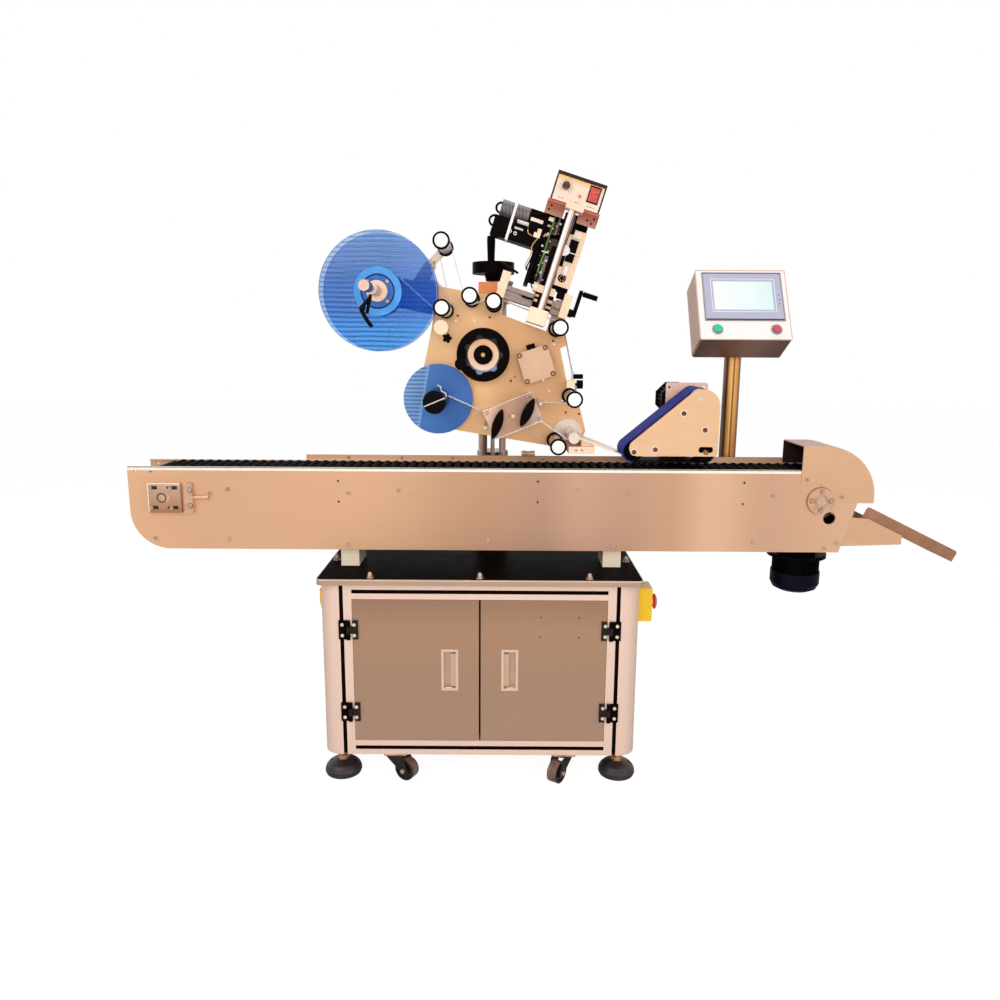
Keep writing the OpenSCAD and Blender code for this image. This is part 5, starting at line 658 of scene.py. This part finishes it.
paint("cross_handwheel", "black_satin", [
    ("brass", lambda c, n: near(4, 1162, 6.3)(c, n) and c.y < -109.9),
    ("silver", lambda c, n: c.y > -80.2 and near(4, 1162, 8)(c, n)),
    ("tan_ring", lambda c, n: -93 < c.y < -91 and n.y < -0.9)])
UNWIND = (-281.5, 1329)
DIAG = (-0.7071, 0.7071)
HUB_SCREWS = [near(UNWIND[0] + 37 * sx, UNWIND[1] + 37 * sz, 5) for sx in DIAG for sz in DIAG]
paint("reel_hub", "hub_blue", [
    ("screw", lambda c, n: c.y < -77.8 and any(test(c, n) for test in HUB_SCREWS)),
    ("black_gloss", lambda c, n: c.z < 1315 and c.y < -170),
    ("cream", lambda c, n: c.y < -95.8 and near(*UNWIND, 15.5)(c, n) and c.y > -190.5),
    ("cream", lambda c, n: -96.3 < c.y < -78.2)])
paint("dancer_arm", "cream_pale", [("silver", within(y=(-300, 3.9)))])
ROLLERS = {"guide_roller_1": (-103, 1283), "guide_roller_2": (-30, 1314), "guide_roller_3": (32, 1300),
    "guide_roller_4": (207, 1234), "guide_roller_5": (249, 1047), "guide_roller_6": (208, 920),
    "dancer_roller": (-103, 1451)}
for name, (x, z) in ROLLERS.items():
    paint(name, "roller_ring", [
        ("roller_silver", lambda c, n, x=x, z=z: -157 < c.y < -5 and near(x, z, 17.5)(c, n))])
paint("rewind_reel", "reel_blue", [
    ("silver", lambda c, n: c.y > -27.2),
    ("black_gloss", lambda c, n: c.y < -30.05 and near(-124, 1038, 31.5)(c, n))])
for name in ("nip_knob_left", "nip_knob_right"):
    paint(name, "black_gloss", [("silver", within(y=(-168.8, 0)))])
paint("feed_roller", "feed_black", [("silver", near(85, 1003, 7.5))])
paint("coder_post", "coder_cream", [
    ("chrome_post", lambda c, n: in_coder((105, 125), (-144, -124.2), (1.5, 261.5))(c, n))])
paint("coder_body", "coder_black", [
    ("tie_white", in_coder((-32.5, -24.5), (-97.5, -34.5), (146, 248.5))),
    ("coder_grey", in_coder((-66.5, 12.5), (-86, -38), (200.5, 248))),
    ("coder_green", in_coder((75.5, 80.5), (-84.5, -40), (149, 247))),
    ("gear_gold", in_coder((62, 125), (-78.5, -65.5), (55, 236))),
    ("cream", in_coder((119.5, 172.5), (-92.5, -85.5), (75, 227))),
    ("cream", in_coder((119, 165), (-86.5, -43.5), (99, 145))),
    ("coder_cream", in_coder((87, 139), (-101, -30), (41, 61)))])
paint("control_box", "box_frame", [
    ("lamp_red", in_coder((117.9, 126.1), (-123, -117.9), (298.9, 307.1))),
    ("box_face", lambda c, n: n.y < -0.9 and in_coder((49, 184), (-118.2, -115.9), (277.5, 350.5))(c, n)),
    ("bracket_red", in_coder((45, 188), (-112.3, -107.7), (239, 278.1))),
    ("box_top", lambda c, n: n.dot(W_AXIS) > 0.9 and coder_local(c).z > 347)])
paint("crank_handle", "crank_black", [
    ("silver", lambda c, n: in_coder((0, 200.5), (-81, -69), (13, 25))(c, n))])
in_screen = in_hmi((-80.5, 85.5), (-2.6, -1.5), (92.5, 184.5))
paint("hmi_box", "hmi_side", [
    ("hmi_screen", lambda c, n: in_screen(c, n) and n.dot(HMI_BACK) < -0.9),
    ("button_base", in_hmi((-999, 0), (-3.6, -0.2), (15, 50))),
    ("hmi_outer", in_hmi((0, 999), (-3.6, -0.2), (15, 50))),
    ("hmi_bezel", in_hmi((-105.5, 109.5), (-3.6, -0.2), (63.5, 208.5))),
    ("hmi_front", lambda c, n: n.dot(HMI_BACK) < -0.9 and in_hmi(d=(-1, 1))(c, n)),
    ("hmi_under", lambda c, n: n.dot(HMI_UP) < -0.9)])


SMOOTH_ANGLE = math.radians(32)


def smooth(me):
    me.polygons.foreach_set("use_smooth", [True] * len(me.polygons))
    me.set_sharp_from_angle(angle=SMOOTH_ANGLE)


for solid in nodes.values():
    smooth(solid.data)


# Mesh helpers; all sizes in mm.
def add_piece(name, bm, key, body):
    me = bpy.data.meshes.new(name)
    bmesh.ops.recalc_face_normals(bm, faces=bm.faces)
    bm.to_mesh(me)
    bm.free()
    me.transform(Matrix.Scale(MM, 4))
    smooth(me)
    ob = bpy.data.objects.new(name, me)
    scene.collection.objects.link(ob)
    me.materials.append(MAT[key])
    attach(ob, body)
    return ob


def basis(direction):
    """Two unit vectors square to the direction, and the direction as a unit vector."""
    d = Vector(direction).normalized()
    a = Vector(UP if abs(d.z) < 0.9 else RIGHT)
    x = a.cross(d).normalized()
    return x, d.cross(x), d


def join_rings(bm, rings):
    """Faces between neighbouring rings of points; a ring of one point is a tip."""
    for a, b in zip(rings, rings[1:]):
        segs = max(len(a), len(b))
        for k in range(segs if segs > 1 else 0):
            j = (k + 1) % segs
            if len(a) == 1:
                bm.faces.new((a[0], b[k], b[j]))
            elif len(b) == 1:
                bm.faces.new((a[k], b[0], a[j]))
            else:
                bm.faces.new((a[k], b[k], b[j], a[j]))


def close_ends(bm, rings):
    bm.faces.new(rings[0])
    bm.faces.new(list(reversed(rings[-1])))


def lathe_into(bm, spot, direction, profile, segs=40):
    """Turns a profile of (radius, height) round a line from spot along direction."""
    x, y, d = basis(direction)
    rings = []
    for r, h in profile:
        base = Vector(spot) + d * h
        if r == 0:
            rings.append([bm.verts.new(base)])
        else:
            rings.append([bm.verts.new(base + (x * math.cos(a) + y * math.sin(a)) * r)
                for a in (2 * math.pi * k / segs for k in range(segs))])
    join_rings(bm, rings)


def lathes(name, key, body, spots, profile, segs=40, direction=FRONT):
    bm = bmesh.new()
    for s in spots:
        lathe_into(bm, s, direction, profile, segs)
    return add_piece(name, bm, key, body)


def washer(inner, outer, height, cut=0.2, inner_cut=0.2):
    """The lathe profile of a flat ring with its top edges cut back."""
    return [(inner, 0), (outer, 0), (outer - cut, height), (inner + inner_cut, height), (inner, 0)]


def screw_head(radius, side, top, height):
    return [(0, 0), (radius, 0), (radius, side), (top, height), (0, height)]


BEVEL_STEPS = 2
BEVEL_SHAPE = 0.6
BEVEL_SHARE = 0.45


def box_into(bm, centre, axes, half, bevel=0.0):
    """A box of the given half sizes along three axes, its edges rounded by the bevel."""
    x, y, z = (Vector(a) for a in axes)
    made = bmesh.ops.create_cube(bm, size=2.0)["verts"]
    for v in made:
        v.co = Vector(centre) + x * v.co.x * half[0] + y * v.co.y * half[1] + z * v.co.z * half[2]
    if bevel:
        edges = list({e for v in made for e in v.link_edges})
        bmesh.ops.bevel(bm, geom=edges, offset=bevel, segments=BEVEL_STEPS, affect="EDGES",
            profile=BEVEL_SHAPE)


WORLD_AXES = (RIGHT, BACK, UP)
CODER_AXES = (U_AXIS, BACK, W_AXIS)
HMI_AXES = (RIGHT, HMI_BACK, HMI_UP)


def turned_axes(turn):
    return (math.cos(turn), 0, math.sin(turn)), BACK, (-math.sin(turn), 0, math.cos(turn))


def boxes(name, key, body, items, axes=WORLD_AXES, bevel=0.6):
    bm = bmesh.new()
    for centre, half in items:
        box_into(bm, centre, axes, half, min(bevel, BEVEL_SHARE * min(half)))
    return add_piece(name, bm, key, body)


def tube_into(bm, pts, r, segs=12):
    """A round tube of radius r along the points."""
    pts = [Vector(p) for p in pts]
    rings = []
    x = None
    for i, p in enumerate(pts):
        d = (pts[min(i + 1, len(pts) - 1)] - pts[max(i - 1, 0)]).normalized()
        if x is None:
            x = basis(d)[0]
        x = (x - d * x.dot(d)).normalized()
        y = d.cross(x)
        rings.append([bm.verts.new(p + (x * math.cos(a) + y * math.sin(a)) * r)
            for a in (2 * math.pi * k / segs for k in range(segs))])
    join_rings(bm, rings)
    close_ends(bm, rings)


def spline(points, steps=8):
    """A smooth run through the points."""
    pts = [Vector(p) for p in points]
    out = []
    for i in range(len(pts) - 1):
        p0, p1, p2, p3 = pts[max(i - 1, 0)], pts[i], pts[i + 1], pts[min(i + 2, len(pts) - 1)]
        for k in range(steps):
            t = k / steps
            out.append(0.5 * ((2 * p1) + (p2 - p0) * t + (2 * p0 - 5 * p1 + 4 * p2 - p3) * t * t
                + (3 * p1 - p0 - 3 * p2 + p3) * t * t * t))
    out.append(pts[-1])
    return out


def tubes(name, key, body, runs, r, segs=12):
    bm = bmesh.new()
    for run in runs:
        tube_into(bm, run, r, segs)
    return add_piece(name, bm, key, body)


def strip_into(bm, line, y0, y1, thick):
    """A thin band drawn by a line of (x, z), from y0 to y1."""
    pts = [Vector((x, 0, z)) for x, z in line]
    rows = []
    for i, p in enumerate(pts):
        d = (pts[min(i + 1, len(pts) - 1)] - pts[max(i - 1, 0)]).normalized()
        nrm = Vector((-d.z, 0, d.x)) * thick / 2
        rows.append([bm.verts.new(p + nrm + Vector((0, y0, 0))), bm.verts.new(p + nrm + Vector((0, y1, 0))),
            bm.verts.new(p - nrm + Vector((0, y1, 0))), bm.verts.new(p - nrm + Vector((0, y0, 0)))])
    join_rings(bm, rows)
    close_ends(bm, rows)


def strips(name, key, body, lines, y0, y1, thick):
    bm = bmesh.new()
    for line in lines:
        strip_into(bm, line, y0, y1, thick)
    return add_piece(name, bm, key, body)


def hmi_boxes(name, key, items, bevel=0.3):
    boxes(name, key, "hmi_box", [(hmi(*spot), half) for *spot, half in items], HMI_AXES, bevel)


def coder_boxes(name, key, items, bevel=0.8):
    boxes(name, key, "coder", [(coder(*spot), half) for *spot, half in items], CODER_AXES, bevel)


def coder_tubes(name, key, runs, radius):
    tubes(name, key, "coder", [spline([coder(*q) for q in run], 6) for run in runs], radius)


DRUM_EDGE = 0.8


def coder_drums(name, key, items, way, segs=24):
    """Drums from (u, y, w, radius, half length), turned round lines along way."""
    bm = bmesh.new()
    for u, y, w, radius, half in items:
        top, side = radius - DRUM_EDGE, half - DRUM_EDGE
        profile = [(0, -half), (top, -half), (radius, -side), (radius, side), (top, half), (0, half)]
        lathe_into(bm, coder(u, y, w), way, profile, segs)
    add_piece(name, bm, key, "coder")


def turned(x, y, z, turn, u, w):
    """The point u, w from x, z on a face that is turned about Y."""
    ct, st = math.cos(turn), math.sin(turn)
    return x + u * ct - w * st, y, z + u * st + w * ct


# Faces that details sit on, as their Y in mm.
ROLLER_FACE, NIP_FACE, COVER_FACE, PRESS_FACE, HEAD_FACE = -165, -164.9, -63.0, -150.0, 10.2
RAIL_BLOCK_FACE, BOX_FACE, CORE_FACE = -177.5, -118.3, -78.05

# Pale caps set in the black front rim of each roller.
for name, (x, z) in ROLLERS.items():
    lathes(name + "_cap", "cap_white", name, [(x, ROLLER_FACE, z)], [(17.2, 0), (17.2, 0.7), (16.4, 1.5),
        (15.0, 1.8), (0, 1.9)])

# Roll of labels between the discs, with its rings seen through the front disc.
UX, UZ = UNWIND
lathes("label_roll", "roll_blue", "unwinder", [(UX, -72.5, UZ)], [(38.1, 0), (63.6, 0), (64.6, 1), (64.6, 52),
    (63.6, 53), (38.1, 53), (38.1, 0)], 72, direction=BACK)
lathes("roll_face", "roll_blue", "unwinder", [(UX, CORE_FACE, UZ)], washer(46.6, 64.6, 0.5), 72)
lathes("core_ring", "ring_navy", "unwinder", [(UX, CORE_FACE, UZ)], washer(42.4, 46.6, 0.8), 72)
lathes("core_face", "hub_blue", "unwinder", [(UX, CORE_FACE, UZ)], washer(27.9, 42.4, 0.6), 72)
lathes("disc_edges", "disc_rim", "unwinder", [(UX, -78.2, UZ), (UX, -14.8, UZ)],
    washer(158.6, 159.6, 3.2, 0, 0), 96, direction=BACK)

# Bent top edge of the front panel, in a near-white painted highlight.
fold = [(-165.35, 851.0), (-165.35, 857.5), (-164.6, 859.4), (-163.0, 860.35), (-154.2, 860.35),
    (-154.2, 860.0), (-165.0, 860.0), (-165.0, 851.0)]
bm = bmesh.new()
ends = [[bm.verts.new((x, y, z)) for y, z in fold] for x in (-956.5, 866)]
join_rings(bm, ends)
close_ends(bm, ends)
add_piece("panel_fold", bm, "panel_bright", "machine")

# Painted highlight: a bright line round the table plate's upper edge.
EDGE_X, EDGE_Y, EDGE_R, EDGE_STEPS = 432.15, 280.15, 14, 8
bm = bmesh.new()
loops = []
for inset, z in ((0, 578.6), (0.35, 580.9), (1.6, 581.25), (1.6, 581.0)):
    row = []
    for quarter, (sx, sy) in enumerate(((1, 1), (-1, 1), (-1, -1), (1, -1))):
        for k in range(EDGE_STEPS + 1):
            a = math.radians(90 * (quarter + k / EDGE_STEPS))
            row.append(bm.verts.new((sx * (EDGE_X - EDGE_R) + (EDGE_R - inset) * math.cos(a),
                sy * (EDGE_Y - EDGE_R) + (EDGE_R - inset) * math.sin(a), z)))
    loops.append(row)
join_rings(bm, loops)
add_piece("plate_edge_highlight", bm, "plate_line", "machine")

# Label web: it leaves the roll, goes round the rollers and the dancer, and ends at the nip.
WEB_Y = (-72, -20)
WEB_THICK = 1.1
WRAP_STEPS = 10
RUN_STEPS = 12


def tangent(a, ra, sa, b, rb, sb):
    """Where a band leaves circle a and meets circle b; s is 1 if it turns counterclockwise, else -1."""
    v = complex(b[0] - a[0], b[1] - a[1])
    c = sa * ra - sb * rb
    d = v / complex(math.sqrt(abs(v) ** 2 - c * c), -c)
    out = complex(d.imag, -d.real)
    return ((a[0] + sa * ra * out.real, a[1] + sa * ra * out.imag),
        (b[0] + sb * rb * out.real, b[1] + sb * rb * out.imag))


def wrap(c, r, s, p, q):
    """The points of a band round circle c from p to q, turning with sign s."""
    a0 = math.atan2(p[1] - c[1], p[0] - c[0])
    a1 = math.atan2(q[1] - c[1], q[0] - c[0])
    if s > 0 and a1 < a0:
        a1 += 2 * math.pi
    if s < 0 and a1 > a0:
        a1 -= 2 * math.pi
    turns = [a0 + (a1 - a0) * k / WRAP_STEPS for k in range(WRAP_STEPS + 1)]
    return [(c[0] + r * math.cos(a), c[1] + r * math.sin(a)) for a in turns]


def band(name, key, body, line):
    return strips(name, key, body, [line], *WEB_Y, WEB_THICK)


R1, R2, R3, R4, R5 = (ROLLERS["guide_roller_%d" % k] for k in range(1, 6))
DN = ROLLERS["dancer_roller"]
# Radii of the web on a roller and on the roll, and where it enters the nip.
RW = 17.4
ROLL_R = 66.2
WEB_IN = (163, 1034)
roll_out, r1_in = tangent(UNWIND, ROLL_R, -1, R1, RW, 1)
r1_out, dn_in = tangent(R1, RW, 1, DN, RW, -1)
dn_out, r2_in = tangent(DN, RW, -1, R2, RW, 1)
r2_out, r3_in = tangent(R2, RW, 1, R3, RW, -1)
r3_out, r4_in = tangent(R3, RW, -1, R4, RW, -1)
r4_out, r5_in = tangent(R4, RW, -1, R5, RW, -1)
strips("web_roll", "web_white", "head", [[roll_out, r1_in] + wrap(R1, RW, 1, r1_in, r1_out)[1:]], *WEB_Y, 2.4)
for name, a, b in (("web_dancer_left", r1_out, dn_in), ("web_dancer_right", r2_in, dn_out)):
    parts = [k / RUN_STEPS for k in range(RUN_STEPS + 1)]
    line = [(a[0] + (b[0] - a[0]) * f, a[1] + (b[1] - a[1]) * f) for f in parts]
    piece = band(name, "web_faint", "head", line)
    piece.parent = None
    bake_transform(piece)
band("web_dancer_top", "web_white", "dancer_arm", wrap(DN, RW, -1, dn_in, dn_out))
top_run = wrap(R2, RW, 1, r2_in, r2_out) + wrap(R3, RW, -1, r3_in, r3_out) + wrap(R4, RW, -1, r4_in, r4_out)
band("web_top", "web_white", "head", top_run)
r5_out = (R5[0] - 4, R5[1] - 16.9)
band("web_down", "web_white", "head", [r4_out] + wrap(R5, RW, -1, r5_in, r5_out) + [WEB_IN])
# Two pieces of the web beside the peel tip, and the waste band to the rewinding reel.
strips("web_return", "web_white", "head", [[(158, 990), (234, 938)]], -150, -100, 1.2)
strips("web_under", "web_faint", "head", [[(106, 975), (170, 938)]], -150, -100, 1.2)
band("web_reel", "web_white", "head", [(20, 1000), (-60, 1034), (-94, 1049)])

# Clip line and the web's loose end on the rewinding hub.
REEL = (-124, 1038)
boxes("reel_clip", "silver", "rewind_reel", [((REEL[0], -169.2, REEL[1]), (30.5, 0.8, 1.5))],
    turned_axes(math.radians(22.6)), 0.4)
curl = [(p.x, p.z) for p in spline([(-92.5, 0, 1053), (-96, 0, 1062), (-106, 0, 1068), (-108, 0, 1078),
    (-117, 0, 1083)], 6)]
strips("reel_curl", "web_white", "rewind_reel", [curl], -165, -130, 0.8)

# Painted blue sheen: a ring on the cross handwheel, light blue low down and near black towards the top.
lathes("cross_painted_sheen", "blue_steel", "cross_handwheel", [(4, -92.2, 1162)], [(42.2, 0), (57, 0), (57, 0.8),
    (43, 1.4), (42.2, 1.4), (42.2, 0)], 72)

# Clamp lever's head beside the reel hub.
bm = bmesh.new()
tube_into(bm, spline([(-284, -186, 1306), (-296, -188, 1294), (-307, -188, 1278), (-303, -189, 1266),
    (-292, -189, 1247), (-281, -188, 1232)], 6), 5.2, 14)
lathe_into(bm, (-304, -194, 1279), (0.35, 0, 1), [(0, -9), (6, -8), (8, -4), (8, 4), (6, 8), (0, 9)], 24)
add_piece("reel_lever", bm, "black_gloss", "unwinder")

# Panel details: line frame round the screen, marks, the bezel's edges and the front's pale borders.
hmi_boxes("screen_frame", "hmi_line", [(2.5, -3.1, 190.5, (88.5, 0.5, 0.8)),
    (2.5, -3.1, 86.5, (88.5, 0.5, 0.8)), (-86, -3.1, 138.5, (0.8, 0.5, 52)),
    (91, -3.1, 138.5, (0.8, 0.5, 52))])
hmi_boxes("screen_marks", "hmi_dark", [(101, -3.1, h, (2.6, 0.4, 0.9)) for h in (112, 126, 140)])
hmi_boxes("bezel_edge", "hmi_dark", [(2, -2.2, 63.4, (107.5, 1.4, 1.2)),
    (2, -2.2, 208.8, (107.5, 1.4, 0.7))], 0.4)
hmi_boxes("bezel_outer", "hmi_outer", [(2, -0.6, 60.4, (112, 0.8, 1.8)), (2, -0.6, 211.6, (112, 0.8, 1.8)),
    (-107.8, -0.6, 136, (1.8, 0.8, 74)), (111.8, -0.6, 136, (1.8, 0.8, 74))], 0.6)
hmi_boxes("panel_border", "hmi_edge", [(0, -0.2, 1.6, (126, 0.5, 1.4)), (0, -0.2, 220.4, (126, 0.5, 1.2)),
    (-125.4, -0.2, 111, (1.3, 0.5, 108)), (125.4, -0.2, 111, (1.3, 0.5, 108))], 0.4)

# Dark lid and edges round the control box's face.
coder_boxes("face_frame", "box_frame", [(116.5, -118.4, 345.6, (66.5, 0.9, 4.4)),
    (52.0, -118.4, 310, (2.0, 0.9, 32)), (181.0, -118.4, 310, (2.0, 0.9, 32))], 0.6)

# Control box: rocker frame, ticks round the dial, small marks on the face, and dark discs of painted shade in
# the bracket's holes.
coder_boxes("rocker_frame", "box_frame", [(156.2, -118.8, 297.6, (15.4, 1.2, 1.9)),
    (156.2, -118.8, 337.2, (15.4, 1.2, 1.9)), (142.4, -118.8, 317.4, (1.4, 1.2, 21)),
    (170.0, -118.8, 317.4, (1.4, 1.2, 21))], 0.5)
bm = bmesh.new()
for k in range(11):
    a = math.radians(225 - 27 * k)
    across = U_AXIS * math.cos(a) + W_AXIS * math.sin(a)
    box_into(bm, coder(80, BOX_FACE, 317) + across * 16.4, (across, BACK, across.cross(Vector(BACK))),
        (1.8, 0.3, 0.35))
add_piece("dial_ticks", bm, "mark_dark", "coder")
MARKS = ((72, 286, 3.2), (80, 286, 2.4), (116, 287, 2.2), (123, 287, 2.2), (149, 286, 2.6), (157, 286, 2.6),
    (165, 286, 1.8))
coder_boxes("face_marks", "mark_dark", [(u, BOX_FACE, w, (h, 0.25, 0.7)) for u, w, h in MARKS], 0.2)
HOLES = [coder(u, -112.1, w) for u, w in ((176, 262), (160, 254), (172, 249), (60, 262), (56, 251))]
lathes("bracket_hole_shade", "coder_black", "coder", HOLES, [(2.6, 0), (2.6, 0.3), (0, 0.3)], 20)

# Works of the coder: cylinders, blocks, cables, spools and small shafts.
coder_drums("coder_cylinders", "silver", [(2, -98, 199.5, 5, 16), (-4, -100, 182, 3, 12)], U_AXIS)
coder_drums("coder_pale_drum", "cream_pale", [(83, -94, 55, 13, 6)], U_AXIS)
coder_boxes("slide_front", "coder_black", [(113, -123, 22, (25.4, 1.4, 20.5))])
coder_drums("slide_copper", "bright_warm", [(131, -128, 27, 5, 7), (131, -127, 12, 4, 7),
    (94, -127, 33, 3.4, 5), (94, -127, 20, 4, 5)], U_AXIS)
coder_drums("coder_copper", "bright_warm", [(151, -92, 25, 6.5, 17), (116, -90, 52, 4, 12),
    (70, -94, 214, 3, 5), (70, -94, 190, 3, 5)], U_AXIS)
coder_drums("coder_white_stub", "cap_white", [(146, -98, 118, 8.5, 12)], W_AXIS)
coder_drums("coder_spool", "cap_white", [(128, -96, 167, 14, 5)], BACK)
coder_drums("coder_ring", "coder_black", [(144, -92.4, 98, 11, 1)], BACK)
ring_holes = [(144 + 6.5 * math.cos(a), -93.6, 98 + 6.5 * math.sin(a), 1.8, 0.8)
    for a in (0.2, 1.25, 2.3, 3.35, 4.4, 5.4)]
coder_drums("coder_ring_holes", "bright_warm", ring_holes, BACK, 12)
coder_boxes("coder_cream_blocks", "cream_pale", [
    (35, -91, 216.5, (17, 7.5, 4.5)), (46, -97, 187, (9, 1.5, 12)), (148, -95, 214, (11, 4, 9)),
    (70, -88, 232, (7, 5, 5))])
coder_boxes("coder_blocks", "coder_black", [
    (31, -100, 198, (13, 4.5, 10)), (147, -95, 171, (11, 3, 29)), (157, -95, 53, (13, 6, 9)),
    (76, -90, 26, (20, 6, 7)), (120, -98, 236, (19, 6, 24)), (70, -88, 160, (6, 5, 62)),
    (100, -90, 110, (6, 5, 60)), (130, -94, 140, (5, 3, 14))])
coder_boxes("coder_grey_strips", "coder_grey", [
    (92, -88, 219, (2.4, 5, 22)), (88, -90, 102, (4.5, 5, 38)), (128, -99, 236, (1.2, 6, 23)),
    (120, -105, 236, (2, 1, 23))], 0.5)
coder_boxes("coder_tie", "tie_white", [(152, -99, 165.5, (21, 0.6, 1.1)), (80, -96, 148, (9, 0.6, 1.4))], 0.3)
coder_tubes("coder_belt_low", "coder_green", [[(80, -92, 150), (77, -92, 120), (77, -92, 86)]], 2.4)
coder_tubes("coder_pale_cables", "brass", [
    [(52, -99, 176), (43, -101, 154), (45, -101, 128), (41, -101, 104), (45, -99, 90)],
    [(18, -99, 196), (22, -102, 180), (34, -101, 176)]], 1.5)
coder_tubes("coder_dark_cables", "coder_black", [
    [(54, -99, 170), (49, -102, 150), (50, -102, 124), (46, -102, 100), (48, -99, 88)],
    [(12, -95, 226), (34, -99, 232), (58, -99, 240)],
    [(66, -98, 96), (84, -100, 80), (70, -98, 60), (86, -97, 40)]], 1.8)
tubes("end_lever", "black_gloss", "head",
    [spline([coder(*q) for q in ((-26, -100, 88), (4, -100, 80.4), (29, -100, 74))], 6)], 3.2)
lathes("coder_white_rings", "tie_white", "coder", [coder(-25, -96.1, 170.6), coder(-10, -96.1, 168.8)],
    washer(2.6, 4.8, 1.2, 0.4), 24)
# Small brass and silver ends, strewn over the coder's front: partly small metal parts, partly painted glints
# on the dark works.
flecks = [((u * 37) % 19 + 64 + (u % 3) * 9, -93.6 - (u % 4), 36 + u * 8.3, 1.5 + (u % 4) * 0.6, 1.6)
    for u in range(25)]
coder_drums("coder_brass_flecks_and_glints", "brass", flecks[::2], BACK, 14)
coder_drums("coder_pins_and_glints", "silver", flecks[1::2], BACK, 14)

# Take-up block: painted shade in its slots, round its centre and round its two screws, the screws, and painted
# highlight lines on its top and left edges; painted shade rings round the drive flange and its screw holes;
# the dancer's pivot nut.
SLOT_SPOTS = [(x, -177.6, z) for x in (-884, -830) for z in (750.5, 805)]
boxes("tension_slots", "hood_inside", "machine", [(spot, (10, 0.3, 4.8)) for spot in SLOT_SPOTS])
lathes("tension_shade_ring", "hood_inside", "machine", [(-864, -177.4, 777)], washer(10.4, 13.2, 0.5), 36)
lathes("tension_heads", "screw", "machine", [(-787, RAIL_BLOCK_FACE, z) for z in (799, 756)],
    screw_head(6, 2.6, 5, 3.6), 24)
lathes("tension_shade_rims", "hood_inside", "machine", [(-787, RAIL_BLOCK_FACE, z) for z in (799, 756)],
    washer(6.2, 7.4, 0.4), 24)
boxes("tension_gleam", "panel_bright", "machine", [((-856.5, -177.6, 816.4), (43.5, 0.4, 1.3)),
    ((-899.6, -177.6, 777), (1.1, 0.4, 40))], bevel=0.3)
lathes("flange_shade_rings", "guide_rail", "machine", [(923, -165.1, 778)], washer(36.1, 37.6, 0.6, 0.2, 0), 48)
flange_spots = [(923 + 26 * math.cos(a), -174.1, 778 + 26 * math.sin(a))
    for a in (0, math.pi / 2, math.pi, 1.5 * math.pi)]
lathes("flange_hole_shade_rings", "guide_rail", "machine", flange_spots, washer(5.6, 7, 0.5), 24)
lathes("dancer_pivot_nut", "brass", "dancer_arm", [(-137.7, 4.1, 1413.2)], screw_head(6.6, 3, 4.2, 4.6), 6)


# Corner screws of the nip plate, and painted highlights along its two edges.
def on_nip(u, w):
    return turned(85, NIP_FACE, 1003, NIP_TURN, u, w)


nip_corners = [on_nip(u, w) for u in (-61, 61) for w in (-32, 32)]
lathes("nip_screws", "screw_brown", "head", nip_corners, screw_head(4.6, 1.4, 3.6, 2.2), 24)
lathes("nip_rims", "screw", "head", nip_corners, washer(4.8, 7, 0.6, 0.4), 24)
boxes("nip_edge_highlights", "hmi_line", "head", [(on_nip(0, -40.8), (70, 0.5, 0.7)), (on_nip(0, 40.8), (70, 0.5, 0.5))],
    turned_axes(NIP_TURN), 0.3)

# Tapped holes and small socket screws in the head's plate.
PLATE_HOLES = [(20, 1265), (81, 1088), (200, 1201), (-70, 1269), (240, 999), (240, 973), (278, 995)]
lathes("plate_holes", "screw_brown", "head", [(x, HEAD_FACE, z) for x, z in PLATE_HOLES],
    [(0, 0), (3.4, 0), (3.4, 0.5), (2.6, 0.9), (1.8, 0.4), (0, 0.4)], 20)

# Brass bush in the nip plate and the clamp's stub on the guide rail.
lathes("nip_bush", "brass_dark", "head", [on_nip(0, 0)], [(3.6, 0), (10.2, 0), (9.6, 1.1), (6.6, 1.6),
    (4.0, 0.6), (3.6, 0)], 32)
lathes("rail_stub", "bright_warm", "machine", [(113, -22, 883)], [(0, 0), (7.6, 0), (8.4, 0.8), (8.4, 12),
    (7.2, 13), (7.2, 25), (8.4, 26), (8.4, 37.2), (7.6, 38), (0, 38)], 28, direction=RIGHT)

# Lugs of the feed motor's cover.
lug_spots = [turned(150, COVER_FACE, 1136, FEED_TURN, 37 * sx, 37 * sz) for sx in (-1, 1) for sz in (-1, 1)]
lathes("cover_lugs", "screw_brown", "head", lug_spots, washer(3.4, 7.2, 0.7, 0.4), 24)

# Painted white highlight and a pale painted sheen strip in each door pull.
for name, side in (("door_left", -1), ("door_right", 1)):
    boxes(name + "_gleam", "hmi_line", name, [((side * 84, -264.6, 272), (9.5, 0.6, 2.6))], bevel=0.5)
    boxes(name + "_sheen_strip", "pull_steel", name, [((side * 71.5, -264.2, 325), (7.5, 0.5, 46))], bevel=0.4)

# Pale rings round the screws of the press plate.
PRESS_SCREWS = [(x, PRESS_FACE, z) for x, z in ((544, 1011), (603, 967), (471, 913), (414, 906))]
lathes("press_rings", "cap_white", "machine", PRESS_SCREWS, washer(6.6, 9.4, 0.9, 0.6), 32)
